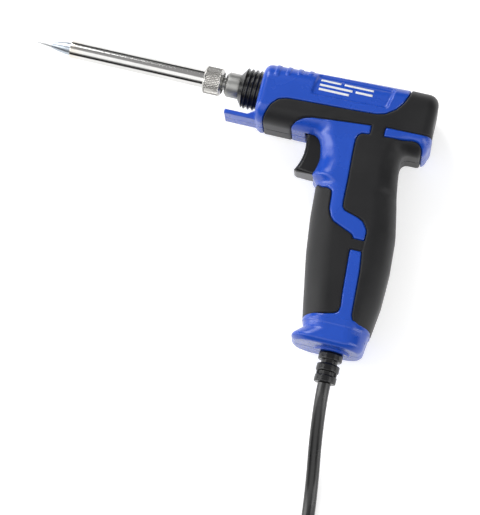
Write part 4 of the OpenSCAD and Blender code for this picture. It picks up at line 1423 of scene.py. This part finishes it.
    def plug_form(self, x: Array, y: Array, z: Array) -> Array:
        """Field of the plug: relief, waisted hub and round face, with grip flutes."""
        v, w = y - self.plug_y, z - self.plug_z
        off = np.hypot(v, w)
        back = self.plug_back
        outline = ((back, -9), (back, 4.2), (back - 18, 6), (back - 21, 9), (back - 32, 10.5),
                   (back - 38, 15.5), (back - 42, 18.5), (self.plug_face, 18.5),
                   (self.plug_face, -9))
        shape = polygon_distance(*np.broadcast_arrays(x, off), outline)
        shape = both(both(shape, x - back + 0.02, 0.5), self.plug_face - x, 0.9)
        turn = np.arctan2(w, v)
        fluted = np.clip(1 - np.abs(x - self.plug_face - 7) / 5.5, 0, 1)
        flute = self.flute_depth * np.cos(self.flutes * turn) * fluted
        shape = shape + self.flute_depth * fluted - flute
        rings = 0.35 * np.clip(np.cos((x - back) * 2 * math.pi / 3.4), 0, 1)
        shape = shape + rings * np.clip((x - back + 17) / 1.5, 0, 1)
        for s in (-1, 1):
            pin = np.hypot(v - s * self.pin_pitch / 2, w) - self.pin_r - 0.05
            shape = cut(shape, np.maximum(pin, x - self.plug_face - 12), 0.2)
            slot = both(np.abs(w - s * self.plug_r) - 2.6, np.abs(v) - 2.8, 0.3)
            shape = cut(shape, both(slot, x - self.plug_face - 14, 0.3), 0.3)
        return cut(shape, np.maximum(off - 3.05, back - 6 - x), 0.2)

    def make_pins(self, finishes: Finishes) -> list[bpy.types.Object]:
        """The plug's two pins, with round noses."""
        made = []
        root, nose = self.plug_face + 11.9, self.plug_face - self.pin_len
        for s, label in ((-1, "near"), (1, "far")):
            axis = (self.plug_y + s * self.pin_pitch / 2, self.plug_z)
            piece = turned(f"plug_pin_{label}", (
                (nose, 0), (nose, self.pin_r - 1), (nose + 1.2, self.pin_r),
                (self.plug_face, self.pin_r), (self.plug_face + 0.1, self.pin_r - 0.2),
                (root, self.pin_r - 0.2), (root, 0)), r=0.5, closed=False, steps=64,
                axis=axis)
            dress(piece, finishes.nickel, Body.HOUSING, "nickel", "plug_pins")
            made.append(piece)
        return made

    def build(self, finishes: Finishes) -> None:
        """Makes the cord and all that belongs to it."""
        cord = self.make_cord(finishes)
        x = self.x
        relief = sculpt("cord_relief", self.relief_form, (x - 7.6, -129.6, -7.6),
                        (x + 7.6, -106.4, 7.6), 0.2, 80000)
        dress(relief, finishes.black, Body.HOUSING, "black_cord", "strain_relief")
        cx, cy = self.centre[0], self.centre[1] + self.turns[1]
        tie = sculpt("coil_strap", self.tie_form, (cx - 3.4, cy - 11.4, -18),
                     (cx + 3.4, cy + 11.4, -2.6), 0.2, 40000)
        dress(tie, finishes.rubber, Body.HOUSING, "black_plastic", "coil_tie")
        plug = sculpt("plug_shell", self.plug_form, (-17, -279.6, -18),
                      (41, -240.4, 21), 0.35, 120000)
        dress(plug, finishes.black, Body.HOUSING, "black_plastic", "plug_body")
        pins = self.make_pins(finishes)


# ---------------------------------------------------------------- small pieces

@dataclass
class LabelMarks:
    """Plain white rules on the recessed panel."""

    lift: float = 0.03
    bars: tuple[tuple[float, float, float, float], ...] = (
        (29, 8.3, 9.6, 1.1), (40.2, 8.3, 13.8, 1.1), (29, 5.7, 15.5, 1.1),
        (46, 5.7, 8, 1.1), (29, 3.5, 14.3, 1.1))

    def build(self, hand: HandPiece, finishes: Finishes) -> None:
        """Lays each rule on the panel's floor."""
        form = hand.shell(Side.LEFT)
        points, faces = [], []
        for x, y, length, height in self.bars:
            across, up = max(2, int(length / 0.8)), max(2, int(height / 0.3))
            start = len(points)
            for i, j in product(range(across + 1), range(up + 1)):
                u, v = length * i / across, height * j / up
                points.append((x + u, y - v, 15.8))
            for i, j in product(range(across), range(up)):
                a = start + i * (up + 1) + j
                faces.append((a, a + 1, a + up + 2, a + up + 1))
        places = np.array(points, float)
        for _ in range(12):
            value = form(*places.T)
            places[:, 2] -= np.clip(value, -0.6, 0.6)
        places[:, 2] += self.lift
        piece = new_object("panel_marks", places, faces)
        solid = piece.modifiers.new("thickness", "SOLIDIFY")
        solid.thickness = 2 * self.lift * MM
        solid.offset = -1
        apply_modifiers(piece)
        dress(piece, finishes.print, Body.HOUSING, "blue_shell")


@dataclass
class HousingScrews:
    """The six screws that hold the halves, seen from the right side."""

    head_r: float = 2.75
    seat: float = -10.95
    shank_r: float = 1.35
    reach: float = 9.5
    head_half: float = 0.95
    recess_half: float = 0.4
    recess_arm: float = 1.6
    recess_depth: float = 0.9

    def form(self, x: Array, y: Array, z: Array) -> Array:
        """Field of one screw on the z axis, with a cross recess in its head."""
        off = np.hypot(x, y)
        head = both(off - self.head_r, np.abs(z + self.head_half) - self.head_half, 0.6)
        shank = both(off - self.shank_r, np.abs(z - self.reach / 2 + 0.5) - self.reach / 2, 0.4)
        solid = blended(head, shank, 0.3)
        u, v = np.abs(x), np.abs(y)
        cross = np.minimum(np.maximum(u - self.recess_half, v - self.recess_arm),
                           np.maximum(v - self.recess_half, u - self.recess_arm))
        return cut(solid, np.maximum(cross, -self.recess_depth - z), 0.15)

    def build(self, finishes: Finishes, trees: Trees) -> None:
        """Makes one screw and puts it at each spot."""
        off = REFERENCE_X
        one = sculpt("one_screw", lambda x, y, z: self.form(x + off, y, z),
                     (-3.6 - off, -3.6, -2.8), (3.6 - off, 3.6, 10.4), 0.16, 9000)
        spots = [(x, y, self.seat) for x, y in SCREW_SPOTS]
        piece = new_object("case_screws", spots, [])
        run_tree(piece, trees.places, Material=finishes.nickel, Piece=one, Turn=1.5, Seed=4)
        bpy.data.objects.remove(one)
        dress(piece, finishes.nickel, Body.HOUSING, "nickel", "housing_screws")


INNER_FINISHES = {
    "heater_rod": "ceramic", "heater_socket": "ceramic", "heater_leads": "sleeving",
    "earth_lead": "green", "terminal_block": "pale", "terminal_screws": "nickel",
    "diode": "black", "switch_body": "black", "switch_plunger": "red",
    "switch_terminals": "brass", "switch_wires": "brown", "trigger_pin": "spring",
    "cord_clamp": "pale", "clamp_screws": "nickel",
    "cord_inner_end": "cord", "mains_wires": "brown", "plug_earth_clips": "nickel",
}


def finish_inner(finishes: Finishes) -> None:
    """Gives the pieces inside the housing, and the plug's clips, their materials."""
    for name, label in INNER_FINISHES.items():
        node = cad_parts[name]
        node.data.materials.clear()
        node.data.materials.append(getattr(finishes, label))


# ---------------------------------------------------------------- camera and light

@dataclass(frozen=True)
class Studio:
    """Camera, pale floor and soft lights."""

    target: Point = (11.304, -80.041, 0.0)
    back: Point = (0.10224, -0.20791, 0.97279)
    right: Point = (0.96879, 0.24279, -0.04993)
    away: float = 1000.0
    seen_width: float = 222.2
    dark_to: float = 0.3

    def make_camera(self) -> None:
        """Puts the camera at the product's own viewing angle."""
        back, right = Vector(self.back).normalized(), Vector(self.right)
        right = (right - back * right.dot(back)).normalized()
        up = back.cross(right)
        data = bpy.data.cameras.new("camera")
        data.sensor_fit = "HORIZONTAL"
        data.angle = 2 * math.atan(self.seen_width / 2 / self.away)
        data.clip_end = 20
        camera = place_object("camera", data)
        place = np.array(self.target) + self.away * np.array(back)
        turned_to = Matrix((right, up, back)).transposed().to_4x4()
        camera.matrix_world = Matrix.Translation(to_world(place)) @ turned_to
        bpy.context.scene.camera = camera

    def make_floor(self) -> None:
        """The plain pale surface that everything lies on."""
        mesh = bpy.data.meshes.new("floor")
        half, z = 4.0, TABLE_Z * MM
        mesh.from_pydata([(-half, -half, z), (half, -half, z), (half, half, z),
                          (-half, half, z)], [], [(0, 1, 2, 3)])
        floor = place_object("floor", mesh)
        material = bpy.data.materials.new("pale_floor")
        material.use_nodes = True
        shader = material.node_tree.nodes["Principled BSDF"]
        for label, value in (("Base Color", (0.7, 0.7, 0.7, 1)), ("Roughness", 0.9),
                             ("Emission Color", (1, 1, 1, 1)), ("Emission Strength", 0.56)):
            shader.inputs[label].default_value = value
        mesh.materials.append(material)

    def make_light(self, name: str, place: Point, size: tuple[float, float], power: float,
                   aim: Point = (11.0, -60.0, 0.0), roll: float = 0.0) -> None:
        """One soft area light, given in the tool's millimetres.

        Args:
            name: Its name.
            place: Where it hangs.
            size: Its width and height in metres.
            power: Its power in watts.
            aim: The point it faces.
            roll: How far it is rolled about its own direction, in degrees.
        """
        data = bpy.data.lights.new(name, "AREA")
        data.shape = "RECTANGLE"
        data.size, data.size_y = size
        data.energy = power
        light = place_object(name, data)
        start, end = Vector(to_world(place)), Vector(to_world(aim))
        face = (start - end).to_track_quat("Z", "Y").to_matrix().to_4x4()
        light.matrix_world = (Matrix.Translation(start) @ face
                              @ Matrix.Rotation(math.radians(roll), 4, "Z"))

    def make_world(self) -> None:
        """A soft surround, brighter overhead than at the sides."""
        world = bpy.data.worlds.new("surround")
        world.use_nodes = True
        bpy.context.scene.world = world
        net = Net(world.node_tree)
        back = world.node_tree.nodes["Background"]
        way = net.add("ShaderNodeTexCoord").outputs["Generated"]
        height = net.add("ShaderNodeSeparateXYZ", {0: way}).outputs["Z"]
        low = net.spread(height, self.dark_to, self.dark_to + 0.25, 0.0, 0.55)
        high = net.spread(height, self.dark_to + 0.25, 1.0, 0.0, 0.2)
        share = net.math("ADD", low, high)
        net.tree.links.new(net.mix(share, (0.01, 0.01, 0.01, 1), (1, 1, 1, 1)),
                           back.inputs["Color"])
        back.inputs["Strength"].default_value = 0.55

    def build(self) -> None:
        """Sets the whole scene round the object."""
        self.make_floor()
        self.make_world()
        self.make_light("front_box", (-50, -480, 800), (1.2, 0.7), 3.0)
        self.make_light("upper_left", (-520, 620, 520), (0.4, 0.7), 6.5)
        self.make_light("left_strip", (-700, -150, 300), (0.25, 0.9), 4.2)
        self.make_light("right_strip", (720, -150, 260), (0.22, 0.9), 2.4)
        view = bpy.context.scene.view_settings
        view.view_transform = "Standard"
        view.look = "None"


def main() -> None:
    """Builds the whole scene."""
    logging.basicConfig(level=logging.INFO, format="%(message)s")
    studio = Studio()
    studio.make_camera()
    finishes, trees = Finishes(), Trees()
    MainsCord().build(finishes)
    Barrel().build(finishes, trees)
    Trigger().build(finishes)
    ReturnSpring().build(finishes, trees)
    HousingScrews().build(finishes, trees)
    hand = HandPiece()
    hand.build(finishes)
    LabelMarks().build(hand, finishes)
    finish_inner(finishes)
    studio.build()


if __name__ == "__main__":
    main()
